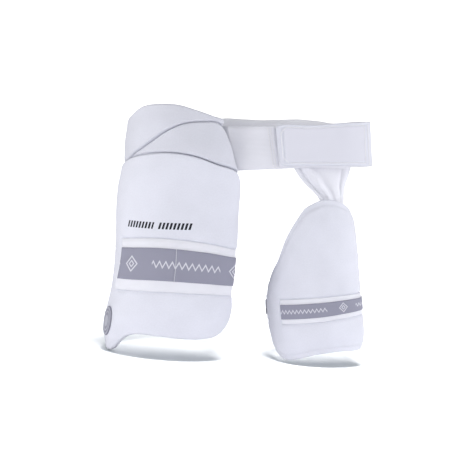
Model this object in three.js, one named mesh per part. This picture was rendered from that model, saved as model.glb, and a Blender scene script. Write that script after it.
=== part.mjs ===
// Cricket thigh guard: an outer thigh pad with two hip pads above it, a waist belt that closes with a tab at the
// front, and an inner thigh pad that hangs from the belt by a gathered hanger. It is shown as it is worn.
// Units are millimetres. +X is to the viewer's right, +Y goes away from the viewer and +Z is up.
// The origin is in the middle of the waist belt's loop.
import * as THREE from "three";

// Sizes of the whole guard
const LAYER_GAP = 0.5; // between layers that are sewn or pressed together
const STRAP_GAP = 1.1; // between a strap and the pad it lies on
const STRAP_LEAVING = 12; // degrees over which a strap leaves a pad's edge
const PAD_GAP = 1.2; // between pads where one is tucked behind another
const UNROLLED_RADIUS = 100; // a pad's outline is drawn flat, this many millimetres to a radian round the leg

// Sizes of the outer leg, the form that the thigh pad, hip pad and hip cap are moulded round
const LEG_TOP = 75;
const LEG_LENGTH = 390;
const LEG_HALF_WIDTH = 91;
const LEG_HALF_DEPTH = 76;
const LEG_CENTRE_X = -94;
const LEG_CENTRE_Y = 30;

// Sizes of the inner leg, the form that the inner pad is moulded round
const INNER_LEG_TOP = -75;
const INNER_LEG_LENGTH = 260;
const INNER_LEG_HALF_WIDTH = 68;
const INNER_LEG_HALF_DEPTH = 62;
const INNER_LEG_CENTRE_X = 108;
const INNER_LEG_CENTRE_Y = 28;

// Sizes of the pads
const THIGH_PAD_TOP = -4;
const THIGH_PAD_HEIGHT = 310;
const THIGH_PAD_THICKNESS = 15;
const THIGH_PAD_EDGE = 10;
const HIP_PAD_TOP = 39;
const HIP_PAD_HEIGHT = 90;
const HIP_PAD_THICKNESS = 12;
const HIP_PAD_EDGE = 8;
const HIP_CAP_TOP = 69;
const HIP_CAP_HEIGHT = 112;
const HIP_CAP_THICKNESS = 12;
const HIP_CAP_EDGE = 8;
const INNER_PAD_TOP = -80;
const INNER_PAD_HEIGHT = 250;
const INNER_PAD_THICKNESS = 13;
const INNER_PAD_EDGE = 7;
const PAD_RISE = 34; // distance from a pad's edge over which it comes to its full thickness
const HINGE_THICKNESS = 2.5; // the thin border of a hip pad that is tucked behind the pad below
const HINGE_START = 2; // width of the groove's bottom beside the covering pad's edge
const HINGE_RISE = 11;
const HINGE_LAYER = HINGE_THICKNESS + PAD_GAP;

// Sizes of the straps, bands and badge
const STRAP_THICKNESS = 2.2;
const STRAP_PRESS = 2; // how far a strap presses into a pad
const PRESS_RISE = 5; // distance from a strap's edge over which the pad comes back to its own thickness
const THIGH_STRAP_WIDTH = 80;
const THIGH_STRAP_DROP = 176; // below the origin, where the strap is highest
const THIGH_BAND_WIDTH = 49;
const THIGH_BAND_RAISE = 1.5; // above the strap's middle
const INNER_STRAP_WIDTH = 37;
const INNER_STRAP_DROP = 247;
const INNER_BAND_WIDTH = 22;
const BAND_THICKNESS = 1;
const BAND_JOINT_GAP = 1.2;
const BADGE_WIDTH = 34;
const BADGE_HEIGHT = 47;
const BADGE_THICKNESS = 2.4;
const BADGE_DROP = 270;
const BADGE_ANGLE = -72; // degrees
const BAND_END_INSET = 0.6; // degrees by which a band stops short of its strap's ends

// Sizes of the waist belt and its tab
const BELT_WIDTH = 65;
const BELT_THICKNESS = 2.4;
const BELT_LAYER = BELT_THICKNESS + LAYER_GAP;
const WAIST_RIGHT = 184;
const WAIST_HALF_DEPTH = 28;
const WAIST_FLARE = 0.02; // how much wider the waist's loop is at the belt's lower edge, as a share
const BELT_FRONT_END = 158;
const BELT_FRONT_START_WIDTH = 73;
const BELT_FRONT_START_DROP = 3.5;
const BELT_FRONT_END_WIDTH = 59;
const WAIST_BELT_START = 152;
const TAB_LEFT = 45;
const TAB_RIGHT = 183;
const TAB_LEFT_WIDTH = 60.5;
const TAB_RIGHT_WIDTH = 67;
const TAB_LEFT_RAISE = 3;
const TAB_RIGHT_RAISE = 1;
const TAB_SLANT = 5;
const TAB_BACKING_INSET = 2;
const TAB_BACKING_DROP = 3; // below the tab's face at its right end
const TAB_CORNER = 9;

// Sizes of the hanger
const HANGER_THICKNESS = 1.6;
const HANGER_TOP = -16;
const HANGER_HEIGHT = 82;
const HANGER_TOP_WIDTH = 86;
const HANGER_CENTRE_X = 113;
const HANGER_FOLD = 4;

// Sections of the outer leg, from the top down. drop is a share of its length, side is how far its middle moves
// to the left as a share of its half width, and width and depth are shares of its half width and half depth.
const LEG_SECTIONS = [
  { drop: 0, side: -0.11, width: 1.03, depth: 1.02 },
  { drop: 0.1, side: -0.11, width: 1.05, depth: 1.05 },
  { drop: 0.19, side: -0.11, width: 1.055, depth: 1.05 },
  { drop: 0.28, side: -0.07, width: 1.035, depth: 1.04 },
  { drop: 0.43, side: 0, width: 1.005, depth: 1.01 },
  { drop: 0.58, side: 0.005, width: 1, depth: 1 },
  { drop: 0.67, side: 0.03, width: 1, depth: 1 },
  { drop: 0.765, side: 0.085, width: 1.005, depth: 1 },
  { drop: 0.86, side: 0.165, width: 1.02, depth: 1.01 },
  { drop: 1, side: 0.195, width: 1.02, depth: 1.01 },
];

const INNER_LEG_SECTIONS = [
  { drop: 0, side: 0.22, width: 0.94, depth: 0.95 },
  { drop: 0.3, side: 0.11, width: 0.98, depth: 0.98 },
  { drop: 0.6, side: 0.01, width: 1, depth: 1 },
  { drop: 0.8, side: -0.06, width: 1, depth: 1 },
  { drop: 1, side: -0.1, width: 1, depth: 1 },
];

// Outlines of the pads. angle is in degrees round the leg from its front, to the viewer's right, and drop is a
// share of the pad's height, from its top.
const THIGH_PAD_OUTLINE = [
  { angle: -100, drop: 0.07 },
  { angle: -76, drop: 0.035 },
  { angle: -50, drop: 0.015 },
  { angle: -20, drop: 0 },
  { angle: 2, drop: 0.018 },
  { angle: 22, drop: 0.06 },
  { angle: 41.5, drop: 0.098 },
  { angle: 46.5, drop: 0.135 },
  { angle: 49.5, drop: 0.19 },
  { angle: 50.5, drop: 0.27 },
  { angle: 49.7, drop: 0.38 },
  { angle: 48.3, drop: 0.465 },
  { angle: 47, drop: 0.52 },
  { angle: 46.5, drop: 0.62 },
  { angle: 47, drop: 0.7 },
  { angle: 49, drop: 0.745 },
  { angle: 50.5, drop: 0.785 },
  { angle: 49.5, drop: 0.835 },
  { angle: 45, drop: 0.88 },
  { angle: 36, drop: 0.915 },
  { angle: 22, drop: 0.925 },
  { angle: 6, drop: 0.92 },
  { angle: -16, drop: 0.905 },
  { angle: -32, drop: 0.903 },
  { angle: -42, drop: 0.923 },
  { angle: -49, drop: 0.95 },
  { angle: -56, drop: 0.98 },
  { angle: -64, drop: 0.995 },
  { angle: -76, drop: 1 },
  { angle: -88, drop: 0.99 },
  { angle: -98, drop: 0.945 },
  { angle: -105, drop: 0.86 },
  { angle: -108.5, drop: 0.74 },
  { angle: -109, drop: 0.5 },
  { angle: -108, drop: 0.2 },
];
const HIP_PAD_OUTLINE = [
  { angle: -60, drop: 0.53 },
  { angle: -46, drop: 0.43 },
  { angle: -36, drop: 0.32 },
  { angle: -20, drop: 0.13 },
  { angle: -5, drop: 0.02 },
  { angle: 10, drop: 0 },
  { angle: 21, drop: 0.01 },
  { angle: 27, drop: 0.08 },
  { angle: 32, drop: 0.35 },
  { angle: 37, drop: 0.65 },
  { angle: 41, drop: 0.88 },
  { angle: 30, drop: 0.97 },
  { angle: 5, drop: 0.94 },
  { angle: -30, drop: 0.82 },
  { angle: -55, drop: 0.8 },
  { angle: -68, drop: 0.68 },
];
const HIP_CAP_OUTLINE = [
  { angle: -97, drop: 0.38 },
  { angle: -84, drop: 0.255 },
  { angle: -68, drop: 0.155 },
  { angle: -50, drop: 0.04 },
  { angle: -30, drop: 0 },
  { angle: -12, drop: 0.02 },
  { angle: 4, drop: 0.1 },
  { angle: 18, drop: 0.185 },
  { angle: 25, drop: 0.24 },
  { angle: 22, drop: 0.36 },
  { angle: 0, drop: 0.49 },
  { angle: -22, drop: 0.61 },
  { angle: -42, drop: 0.79 },
  { angle: -60, drop: 0.93 },
  { angle: -82, drop: 1 },
  { angle: -98, drop: 0.93 },
  { angle: -103, drop: 0.66 },
];
const INNER_PAD_OUTLINE = [
  { angle: 4, drop: 0.02 },
  { angle: 16, drop: 0 },
  { angle: 30, drop: 0 },
  { angle: 45, drop: 0.02 },
  { angle: 58, drop: 0.065 },
  { angle: 64, drop: 0.13 },
  { angle: 65, drop: 0.3 },
  { angle: 65, drop: 0.6 },
  { angle: 65, drop: 0.87 },
  { angle: 59, drop: 0.93 },
  { angle: 45, drop: 0.94 },
  { angle: 22, drop: 0.935 },
  { angle: -4, drop: 0.95 },
  { angle: -28, drop: 0.98 },
  { angle: -46, drop: 1 },
  { angle: -64, drop: 0.985 },
  { angle: -84, drop: 0.93 },
  { angle: -97, drop: 0.84 },
  { angle: -100, drop: 0.7 },
  { angle: -92, drop: 0.57 },
  { angle: -70, drop: 0.465 },
  { angle: -52, drop: 0.37 },
  { angle: -36, drop: 0.235 },
  { angle: -20, drop: 0.125 },
  { angle: -7, drop: 0.05 },
];

// The way of each strap round its leg, from its free end over the pad, round the right edge and the back, to where
// it is sewn over the pad's left edge. lower is how far its middle line lies below its highest place and stand how
// far it stands off the leg where it is clear of the pad, as shares of its width, and wide is its width's share.
const THIGH_STRAP_WAY = [
  { angle: -62, lower: 0.04, stand: 0, wide: 0.98 },
  { angle: -20, lower: 0, stand: 0, wide: 1 },
  { angle: 15, lower: 0.065, stand: 0, wide: 0.95 },
  { angle: 48, lower: 0.19, stand: -0.05, wide: 0.86 },
  { angle: 65, lower: 0.2, stand: -0.15, wide: 0.86 },
  { angle: 90, lower: 0.2, stand: -0.25, wide: 0.88 },
  { angle: 120, lower: 0.18, stand: -0.19, wide: 0.9 },
  { angle: 160, lower: 0.15, stand: -0.03, wide: 0.92 },
  { angle: 210, lower: 0.11, stand: 0.02, wide: 0.94 },
  { angle: 262, lower: 0.09, stand: 0.05, wide: 0.95 },
];
const INNER_STRAP_WAY = [
  { angle: -47, lower: 0.17, stand: 0, wide: 1 },
  { angle: 0, lower: 0, stand: 0, wide: 0.97 },
  { angle: 30, lower: -0.1, stand: 0, wide: 0.9 },
  { angle: 65, lower: -0.16, stand: -0.04, wide: 0.84 },
  { angle: 90, lower: -0.2, stand: -0.06, wide: 0.82 },
  { angle: 130, lower: -0.15, stand: 0, wide: 0.88 },
  { angle: 180, lower: -0.03, stand: 0.03, wide: 0.94 },
  { angle: 230, lower: 0.05, stand: 0.05, wide: 0.97 },
  { angle: 270, lower: 0.12, stand: 0.1, wide: 1 },
];
const THIGH_BAND_JOINT = -7; // degrees

// The middle line of the waist's loop from the hip pad's inside, along the front, round the fold and back. side and
// depth are shares of the waist's right end and half depth, and rise is a share of the belt's width. The ends are
// sewn to the insides of the hip pad and hip cap, at these angles round the leg.
const WAIST_FRONT_ANGLES = [4, 16, 28, 38];
const WAIST_BACK_ANGLES = [-86, -79, -72, -65];
const WAIST_LINE = [
  { side: 0, depth: -0.99, rise: 0 },
  { side: 0.3, depth: -1, rise: 0.01 },
  { side: 0.6, depth: -0.99, rise: 0.03 },
  { side: 0.84, depth: -0.84, rise: 0.05 },
  { side: 0.96, depth: -0.42, rise: 0.05 },
  { side: 1, depth: 0, rise: 0.06 },
  { side: 0.95, depth: 0.4, rise: 0.08 },
  { side: 0.8, depth: 0.75, rise: 0.06 },
  { side: 0.55, depth: 1, rise: 0.095 },
  { side: 0.25, depth: 1.08, rise: 0.12 },
  { side: -0.1, depth: 1.18, rise: 0.13 },
  { side: -0.45, depth: 1.5, rise: 0.13 },
  { side: -0.78, depth: 1.78, rise: 0.11 },
];

// The hanger's edges and its middle's place between belt and inner pad. left and right are shares of its top width,
// from its middle, and pull is how far the row has come from the belt's line to the inner pad's inside.
const HANGER_ROWS = [
  { down: 0, left: -0.49, right: 0.49, pull: 0 },
  { down: 0.17, left: -0.48, right: 0.49, pull: 0.05 },
  { down: 0.35, left: -0.36, right: 0.45, pull: 0.35 },
  { down: 0.5, left: -0.24, right: 0.4, pull: 0.6 },
  { down: 0.65, left: -0.1, right: 0.385, pull: 0.85 },
  { down: 0.8, left: -0.01, right: 0.38, pull: 1 },
  { down: 1, left: 0, right: 0.37, pull: 1 },
];
// Folds of the hanger. top and bottom are where a fold crosses, as shares of the width from the left, spread is its
// half breadth there and height its height as a share of the fold size, towards the viewer where it is above 0.
const HANGER_FOLDS = [
  { top: 0.03, bottom: 0.06, spread: 0.06, height: 0.5 },
  { top: 0.12, bottom: 0.2, spread: 0.06, height: -0.9 },
  { top: 0.16, bottom: 0.42, spread: 0.07, height: 1 },
  { top: 0.36, bottom: 0.58, spread: 0.08, height: -0.7 },
  { top: 0.62, bottom: 0.7, spread: 0.07, height: 0.5 },
  { top: 0.84, bottom: 0.8, spread: 0.045, height: -0.9 },
  { top: 0.95, bottom: 0.93, spread: 0.06, height: 0.6 },
];

// How finely things are divided
const ROUND_EDGE_STEPS = [0.134, 0.5, 1]; // insets of the rings on a round edge, as shares of its radius
const GUIDE_STEP = 13; // along the lines where a pad's thickness changes fast
const GUIDE_APART = 3; // least distance between those lines' points
const HINGE_LINES = [-5, 1.8, 4, 7.5, 12.5]; // distances from a covering pad's edge
const PRESS_LINES = [0.2, 5]; // distances from a strap's edge
const LOOP_STEP = 15;
const HIP_LOOP_STEP = 10;
const FACE_STEP = 15;
const HIP_FACE_STEP = 12;
const INSIDE_STEP = 20;
const STRAP_STEP = 7.5; // degrees
const BADGE_POINTS = 20;
const HANGER_COLUMNS = 20;
const HANGER_LEVELS = 9;

const { degToRad, radToDeg, lerp, smoothstep, clamp } = THREE.MathUtils;

// A smooth function of key through the named column of a table, whose rows go up in key. It holds its end values.
function curve(rows, key, column) {
  const x = rows.map((row) => row[key]);
  const y = rows.map((row) => row[column]);
  const last = rows.length - 1;
  const slope = y.map((_, i) => {
    const a = Math.max(i - 1, 0);
    const b = Math.min(i + 1, last);
    return (y[b] - y[a]) / (x[b] - x[a]);
  });
  return (at) => {
    const here = clamp(at, x[0], x[last]);
    let i = 0;
    while (i < last - 1 && here > x[i + 1]) i += 1;
    const h = x[i + 1] - x[i];
    const t = (here - x[i]) / h;
    const rise = y[i + 1] - y[i];
    const bend = (1 - t) * (slope[i] * h - rise) + t * (rise - slope[i + 1] * h);
    return y[i] + rise * t + t * (1 - t) * bend;
  };
}

// Values from first to last in steps no longer than step.
function steps(first, last, step) {
  const count = Math.ceil(Math.abs(last - first) / step);
  return Array.from({ length: count + 1 }, (_, i) => lerp(first, last, i / count));
}

// A leg as a stack of ellipses. point gives the place at an angle and height, standing off the leg by a distance.
function legForm(rows, { top, length, halfWidth, halfDepth, centreX, centreY }) {
  const side = curve(rows, "drop", "side");
  const width = curve(rows, "drop", "width");
  const depth = curve(rows, "drop", "depth");
  const point = (angle, z, stand) => {
    const drop = (top - z) / length;
    const a = halfWidth * width(drop);
    const b = halfDepth * depth(drop);
    const sine = Math.sin(degToRad(angle));
    const cosine = Math.cos(degToRad(angle));
    const outward = new THREE.Vector3(b * sine, -a * cosine, 0).normalize();
    const onLeg = new THREE.Vector3(centreX - side(drop) * halfWidth + a * sine, centreY - b * cosine, z);
    return onLeg.addScaledVector(outward, stand);
  };
  return { point };
}

const unrolled = (angle) => degToRad(angle) * UNROLLED_RADIUS;
const rolled = (u) => radToDeg(u / UNROLLED_RADIUS);

// A closed smooth outline through a table's rows, drawn flat as points of u and z, evenly spaced and anticlockwise
// as seen from outside the leg.
function outlineLoop(rows, top, height, spacing) {
  const corners = rows.map((row) => new THREE.Vector3(unrolled(row.angle), top - row.drop * height, 0));
  const line = new THREE.CatmullRomCurve3(corners, true, "centripetal");
  const count = Math.round(line.getLength() / spacing);
  const points = line.getSpacedPoints(count).slice(0, count);
  const flat = points.map((p) => new THREE.Vector2(p.x, p.y));
  return THREE.ShapeUtils.area(flat) < 0 ? flat.reverse() : flat;
}

// A loop moved inwards by a distance, or outwards where that is below 0.
function insetLoop(loop, distance) {
  const count = loop.length;
  return loop.map((p, i) => {
    const next = loop[(i + 1) % count];
    const before = loop[(i + count - 1) % count];
    const along = next.clone().sub(before).normalize();
    return new THREE.Vector2(p.x - along.y * distance, p.y + along.x * distance);
  });
}

// Distance from a flat point to a loop, above 0 inside it and below 0 outside.
function depthInside(loop, p) {
  let nearest = Infinity;
  let inside = false;
  loop.forEach((a, i) => {
    const b = loop[(i + 1) % loop.length];
    const [dx, dy] = [b.x - a.x, b.y - a.y];
    const t = clamp(((p.x - a.x) * dx + (p.y - a.y) * dy) / (dx * dx + dy * dy), 0, 1);
    nearest = Math.min(nearest, Math.hypot(p.x - a.x - t * dx, p.y - a.y - t * dy));
    if (a.y > p.y !== b.y > p.y && p.x < a.x + ((p.y - a.y) / dy) * dx) inside = !inside;
  });
  return inside ? nearest : -nearest;
}

// The way of a strap round its leg: middle and half give its middle height and half width at an angle, and beyond
// is how far a flat point is outside the stretch that presses into the pad, which starts at its free end.
function strapWay(rows, { width, drop }) {
  const lower = curve(rows, "angle", "lower");
  const stand = curve(rows, "angle", "stand");
  const wide = curve(rows, "angle", "wide");
  const first = rows[0].angle;
  const last = rows.at(-1).angle;
  const middle = (angle) => -drop - width * lower(angle);
  const half = (angle) => (width * wide(angle)) / 2;
  const beyond = (p) => {
    const angle = rolled(p.x);
    return Math.max(Math.abs(p.y - middle(angle)) - half(angle), unrolled(first - angle));
  };
  return { first, last, middle, half, beyond, stand: (angle) => width * stand(angle), wide };
}

// A pad is a flat outline on a leg, with the stand of its inner face, its thickness in the middle and at its edge,
// the pads that cover its tucked border, and the strap that presses into it.
function makePad(form, loop, { stand, full, edge, covers = [], strap }) {
  const thickness = (p) => {
    const open = lerp(edge, full, smoothstep(depthInside(loop, p), 0, PAD_RISE));
    const pressed = strap ? STRAP_PRESS * (1 - smoothstep(strap.beyond(p), 0, PRESS_RISE)) : 0;
    const bare = covers.map((cover) => {
      const left = 1 - clamp((-depthInside(cover.loop, p) - HINGE_START) / HINGE_RISE, 0, 1);
      return Math.sqrt(1 - left * left);
    });
    return lerp(HINGE_THICKNESS, open - pressed, Math.min(1, ...bare));
  };
  const outer = (p) => stand + thickness(p);
  return { form, loop, stand, edge, covers, strap, thickness, outer };
}

// Flat points along the lines where a pad's thickness changes fast: beside the pads that cover it, along both edges
// of its strap, and beside the strap's free end.
function guidePoints({ covers, strap }) {
  const points = covers.flatMap((cover) =>
    HINGE_LINES.flatMap((distance) => insetLoop(cover.loop, -distance)),
  );
  if (strap) {
    const add = (angle, z) => points.push(new THREE.Vector2(unrolled(angle), z));
    for (const distance of PRESS_LINES) {
      for (const angle of steps(strap.first, strap.first + 180, rolled(GUIDE_STEP))) {
        add(angle, strap.middle(angle) - strap.half(angle) - distance);
        add(angle, strap.middle(angle) + strap.half(angle) + distance);
      }
      const beside = strap.first - rolled(distance);
      const reach = strap.half(beside);
      steps(-reach, reach, GUIDE_STEP).forEach((across) => add(beside, strap.middle(beside) + across));
    }
  }
  return points;
}

// Flat points inside a border: the guides that have room there, then a field of points at the spacing.
function fieldPoints(border, guides, spacing) {
  const kept = [...border];
  const addIfRoom = (p, apart) => {
    const free = depthInside(border, p) > apart && kept.every((q) => q.distanceTo(p) > apart);
    if (free) kept.push(p);
  };
  guides.forEach((p) => addIfRoom(p, GUIDE_APART));
  const box = new THREE.Box2().setFromPoints(border);
  const rowHeight = spacing * Math.sqrt(0.75);
  for (let row = 0; box.min.y + row * rowHeight < box.max.y; row += 1) {
    for (let x = box.min.x + (row % 2) * spacing * 0.5; x < box.max.x; x += spacing) {
      addIfRoom(new THREE.Vector2(x, box.min.y + row * rowHeight), spacing * 0.6);
    }
  }
  return kept;
}

// The well-shaped triangles between flat points: none of their circles holds another point.
function triangulate(points) {
  const box = new THREE.Box2().setFromPoints(points);
  const centre = box.getCenter(new THREE.Vector2());
  const reach = 30 * box.getSize(new THREE.Vector2()).length();
  const count = points.length;
  const all = [...points];
  for (const turn of [210, 330, 90]) {
    const way = new THREE.Vector2(Math.cos(degToRad(turn)), Math.sin(degToRad(turn)));
    all.push(centre.clone().addScaledVector(way, reach));
  }
  const triangle = (a, b, c) => {
    const ab = all[b].clone().sub(all[a]);
    const ac = all[c].clone().sub(all[a]);
    const scale = 0.5 / ab.cross(ac);
    const x = (ac.y * ab.lengthSq() - ab.y * ac.lengthSq()) * scale;
    const y = (ab.x * ac.lengthSq() - ac.x * ab.lengthSq()) * scale;
    return { corners: [a, b, c], x: all[a].x + x, y: all[a].y + y, radius: Math.hypot(x, y) };
  };
  let made = [triangle(count, count + 1, count + 2)];
  points.forEach((p, k) => {
    const rim = new Map();
    made = made.filter((t) => {
      if (Math.hypot(p.x - t.x, p.y - t.y) > t.radius) return true;
      t.corners.forEach((a, i) => {
        const b = t.corners[(i + 1) % 3];
        if (!rim.delete(`${b} ${a}`)) rim.set(`${a} ${b}`, [a, b]);
      });
      return false;
    });
    for (const [a, b] of rim.values()) made.push(triangle(a, b, k));
  });
  return made.map((t) => t.corners).filter((corners) => corners.every((i) => i < count));
}

function geometryOf(points, faces) {
  const geometry = new THREE.BufferGeometry();
  geometry.setAttribute("position", new THREE.Float32BufferAttribute(points.flatMap((p) => p.toArray()), 3));
  geometry.setIndex(faces.flat());
  return geometry;
}

const turnedOver = (faces) => faces.map(([a, b, c]) => [a, c, b]);

// The solid of a pad: rings close together on its round edge, then an outer and an inner face.
function padGeometry(pad, spacing, innerSpacing) {
  const { form, loop, stand, edge, thickness } = pad;
  const radius = edge / 2;
  const points = loop.map((p) => form.point(rolled(p.x), p.y, stand + thickness(p) / 2));
  const heightOf = (p, face) => {
    const thick = thickness(p);
    const round = Math.min(thick / 2, radius);
    const left = Math.max(0, round - Math.max(0, depthInside(loop, p)));
    const cut = round - Math.sqrt(round * round - left * left);
    return face === "outer" ? thick - cut : cut;
  };
  const place = (flat, face) =>
    flat.map((p) => points.push(form.point(rolled(p.x), p.y, stand + heightOf(p, face))) - 1);
  const faces = { outer: [], inner: [] };
  for (const face of ["outer", "inner"]) {
    const rings = [loop.map((_, i) => i)];
    const insets = ROUND_EDGE_STEPS.map((share) => insetLoop(loop, share * radius));
    insets.forEach((ring) => rings.push(place(ring, face)));
    const border = insets.at(-1);
    const guides = face === "outer" ? guidePoints(pad) : [];
    const field = fieldPoints(border, guides, face === "outer" ? spacing : innerSpacing);
    const numbers = [...rings.at(-1), ...place(field.slice(border.length), face)];
    const inside = triangulate(field).filter((corners) => {
      const middle = corners.reduce((sum, i) => sum.add(field[i]), new THREE.Vector2()).divideScalar(3);
      return depthInside(border, middle) > 0;
    });
    faces[face] = [...ringFaces(rings), ...inside.map((corners) => corners.map((i) => numbers[i]))];
  }
  return geometryOf(points, [...faces.outer, ...turnedOver(faces.inner)]);
}

// Triangles between rings of point numbers, the last of which may be a single point.
function ringFaces(rings) {
  const faces = [];
  for (let k = 0; k + 1 < rings.length; k += 1) {
    const wide = rings[k];
    const narrow = rings[k + 1];
    wide.forEach((a, i) => {
      const b = wide[(i + 1) % wide.length];
      if (narrow.length === 1) {
        faces.push([a, b, narrow[0]]);
      } else {
        faces.push([a, b, narrow[(i + 1) % narrow.length]], [a, narrow[(i + 1) % narrow.length], narrow[i]]);
      }
    });
  }
  return faces;
}

// A grid of points moved outwards: columns along a sheet, each from the bottom up, with its outer side on the right
// hand of the columns' direction as seen from above.
function raisedGrid(columns, distance) {
  const last = columns.length - 1;
  const top = columns[0].length - 1;
  return columns.map((column, i) =>
    column.map((p, j) => {
      const along = columns[Math.min(i + 1, last)][j].clone().sub(columns[Math.max(i - 1, 0)][j]);
      const up = column[Math.min(j + 1, top)].clone().sub(column[Math.max(j - 1, 0)]);
      return p.clone().addScaledVector(along.cross(up).normalize(), distance);
    }),
  );
}

// A cloth or webbing solid with a thickness, from the grid of its middle surface.
function sheetGeometry(columns, thickness) {
  const count = columns.length;
  const levels = columns[0].length;
  const points = [...raisedGrid(columns, thickness / 2), ...raisedGrid(columns, -thickness / 2)].flat();
  const number = (side, i, j) => (side * count + i) * levels + j;
  const faces = [];
  const quad = (a, b, c, d) => faces.push([a, b, c], [a, c, d]);
  for (let i = 0; i + 1 < count; i += 1) {
    for (let j = 0; j + 1 < levels; j += 1) {
      quad(number(0, i, j), number(0, i + 1, j), number(0, i + 1, j + 1), number(0, i, j + 1));
      quad(number(1, i, j), number(1, i, j + 1), number(1, i + 1, j + 1), number(1, i + 1, j));
    }
    const top = levels - 1;
    quad(number(0, i, 0), number(1, i, 0), number(1, i + 1, 0), number(0, i + 1, 0));
    quad(number(0, i, top), number(0, i + 1, top), number(1, i + 1, top), number(1, i, top));
  }
  for (let j = 0; j + 1 < levels; j += 1) {
    const end = count - 1;
    quad(number(0, 0, j), number(0, 0, j + 1), number(1, 0, j + 1), number(1, 0, j));
    quad(number(0, end, j), number(1, end, j), number(1, end, j + 1), number(0, end, j + 1));
  }
  return geometryOf(points, faces);
}

// The inner surface of a strap, or the part of it under a band, between two angles. It lies on the pad as far as the pad's
// edges, and follows its own way where it is clear of the pad.
function strapGrid(pad, { rightEdge, leftEdge }, first, last, width, raise) {
  const way = pad.strap;
  const between = steps(way.first, way.last, STRAP_STEP).filter((angle) => angle > first && angle < last);
  return [first, ...between, last].map((angle) =>
    steps(-0.5, 0.5, 0.25).map((share) => {
      const z = way.middle(angle) + raise + share * width * way.wide(angle);
      const turn = angle > 180 ? angle - 360 : angle;
      const onPad = pad.outer(new THREE.Vector2(unrolled(turn), z)) + STRAP_GAP;
      const away = smoothstep(angle, rightEdge, rightEdge + STRAP_LEAVING);
      const back = smoothstep(angle, leftEdge - STRAP_LEAVING, leftEdge);
      return pad.form.point(angle, z, lerp(onPad, way.stand(angle), away * (1 - back)));
    }),
  );
}

function badgeGeometry(pad, angle, z) {
  const middle = new THREE.Vector2(unrolled(angle), z);
  const loop = Array.from({ length: BADGE_POINTS }, (_, i) => {
    const turn = (2 * Math.PI * i) / BADGE_POINTS;
    const [across, up] = [(BADGE_WIDTH / 2) * Math.cos(turn), (BADGE_HEIGHT / 2) * Math.sin(turn)];
    return new THREE.Vector2(middle.x + across, middle.y + up);
  });
  const points = [];
  const ringAt = (share, height) =>
    loop.map((p) => {
      const flat = p.clone().lerp(middle, 1 - share);
      const stand = pad.outer(flat) + LAYER_GAP + height * BADGE_THICKNESS;
      return points.push(pad.form.point(rolled(flat.x), flat.y, stand)) - 1;
    });
  const foot = ringAt(1, 0);
  const raised = [ringAt(0.98, 0.7), ringAt(0.93, 1), ringAt(0.84, 1), ringAt(0.7, 0.6), ringAt(0.35, 0.6)];
  const face = [foot, ...raised, ringAt(0, 0.6).slice(0, 1)];
  const back = [foot, ringAt(0.5, 0), ringAt(0, 0).slice(0, 1)];
  return geometryOf(points, [...ringFaces(face), ...turnedOver(ringFaces(back))]);
}

const outerLeg = legForm(LEG_SECTIONS, {
  top: LEG_TOP,
  length: LEG_LENGTH,
  halfWidth: LEG_HALF_WIDTH,
  halfDepth: LEG_HALF_DEPTH,
  centreX: LEG_CENTRE_X,
  centreY: LEG_CENTRE_Y,
});
const innerLeg = legForm(INNER_LEG_SECTIONS, {
  top: INNER_LEG_TOP,
  length: INNER_LEG_LENGTH,
  halfWidth: INNER_LEG_HALF_WIDTH,
  halfDepth: INNER_LEG_HALF_DEPTH,
  centreX: INNER_LEG_CENTRE_X,
  centreY: INNER_LEG_CENTRE_Y,
});

const thighPad = makePad(
  outerLeg,
  outlineLoop(THIGH_PAD_OUTLINE, THIGH_PAD_TOP, THIGH_PAD_HEIGHT, LOOP_STEP),
  {
    stand: 2 * HINGE_LAYER,
    full: THIGH_PAD_THICKNESS,
    edge: THIGH_PAD_EDGE,
    strap: strapWay(THIGH_STRAP_WAY, { width: THIGH_STRAP_WIDTH, drop: THIGH_STRAP_DROP }),
  },
);
const hipPad = makePad(outerLeg, outlineLoop(HIP_PAD_OUTLINE, HIP_PAD_TOP, HIP_PAD_HEIGHT, HIP_LOOP_STEP), {
  stand: HINGE_LAYER,
  full: HIP_PAD_THICKNESS,
  edge: HIP_PAD_EDGE,
  covers: [thighPad],
});
const hipCap = makePad(outerLeg, outlineLoop(HIP_CAP_OUTLINE, HIP_CAP_TOP, HIP_CAP_HEIGHT, HIP_LOOP_STEP), {
  stand: 0,
  full: HIP_CAP_THICKNESS,
  edge: HIP_CAP_EDGE,
  covers: [thighPad, hipPad],
});
const innerPad = makePad(
  innerLeg,
  outlineLoop(INNER_PAD_OUTLINE, INNER_PAD_TOP, INNER_PAD_HEIGHT, LOOP_STEP),
  {
    stand: 0,
    full: INNER_PAD_THICKNESS,
    edge: INNER_PAD_EDGE,
    strap: strapWay(INNER_STRAP_WAY, { width: INNER_STRAP_WIDTH, drop: INNER_STRAP_DROP }),
  },
);

// A strap round a pad's leg, and a band along it between two angles.
const onThigh = { rightEdge: 49, leftEdge: 251 };
const onInner = { rightEdge: 69, leftEdge: 260 };
function strapGeometry(pad, edges, width) {
  const inside = strapGrid(pad, edges, pad.strap.first, pad.strap.last, width, 0);
  return sheetGeometry(raisedGrid(inside, STRAP_THICKNESS / 2), STRAP_THICKNESS);
}

function bandGeometry(pad, edges, first, last, width, raise) {
  const below = strapGrid(pad, edges, first, last, width, raise);
  return sheetGeometry(raisedGrid(below, STRAP_THICKNESS + LAYER_GAP + BAND_THICKNESS / 2), BAND_THICKNESS);
}

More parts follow.
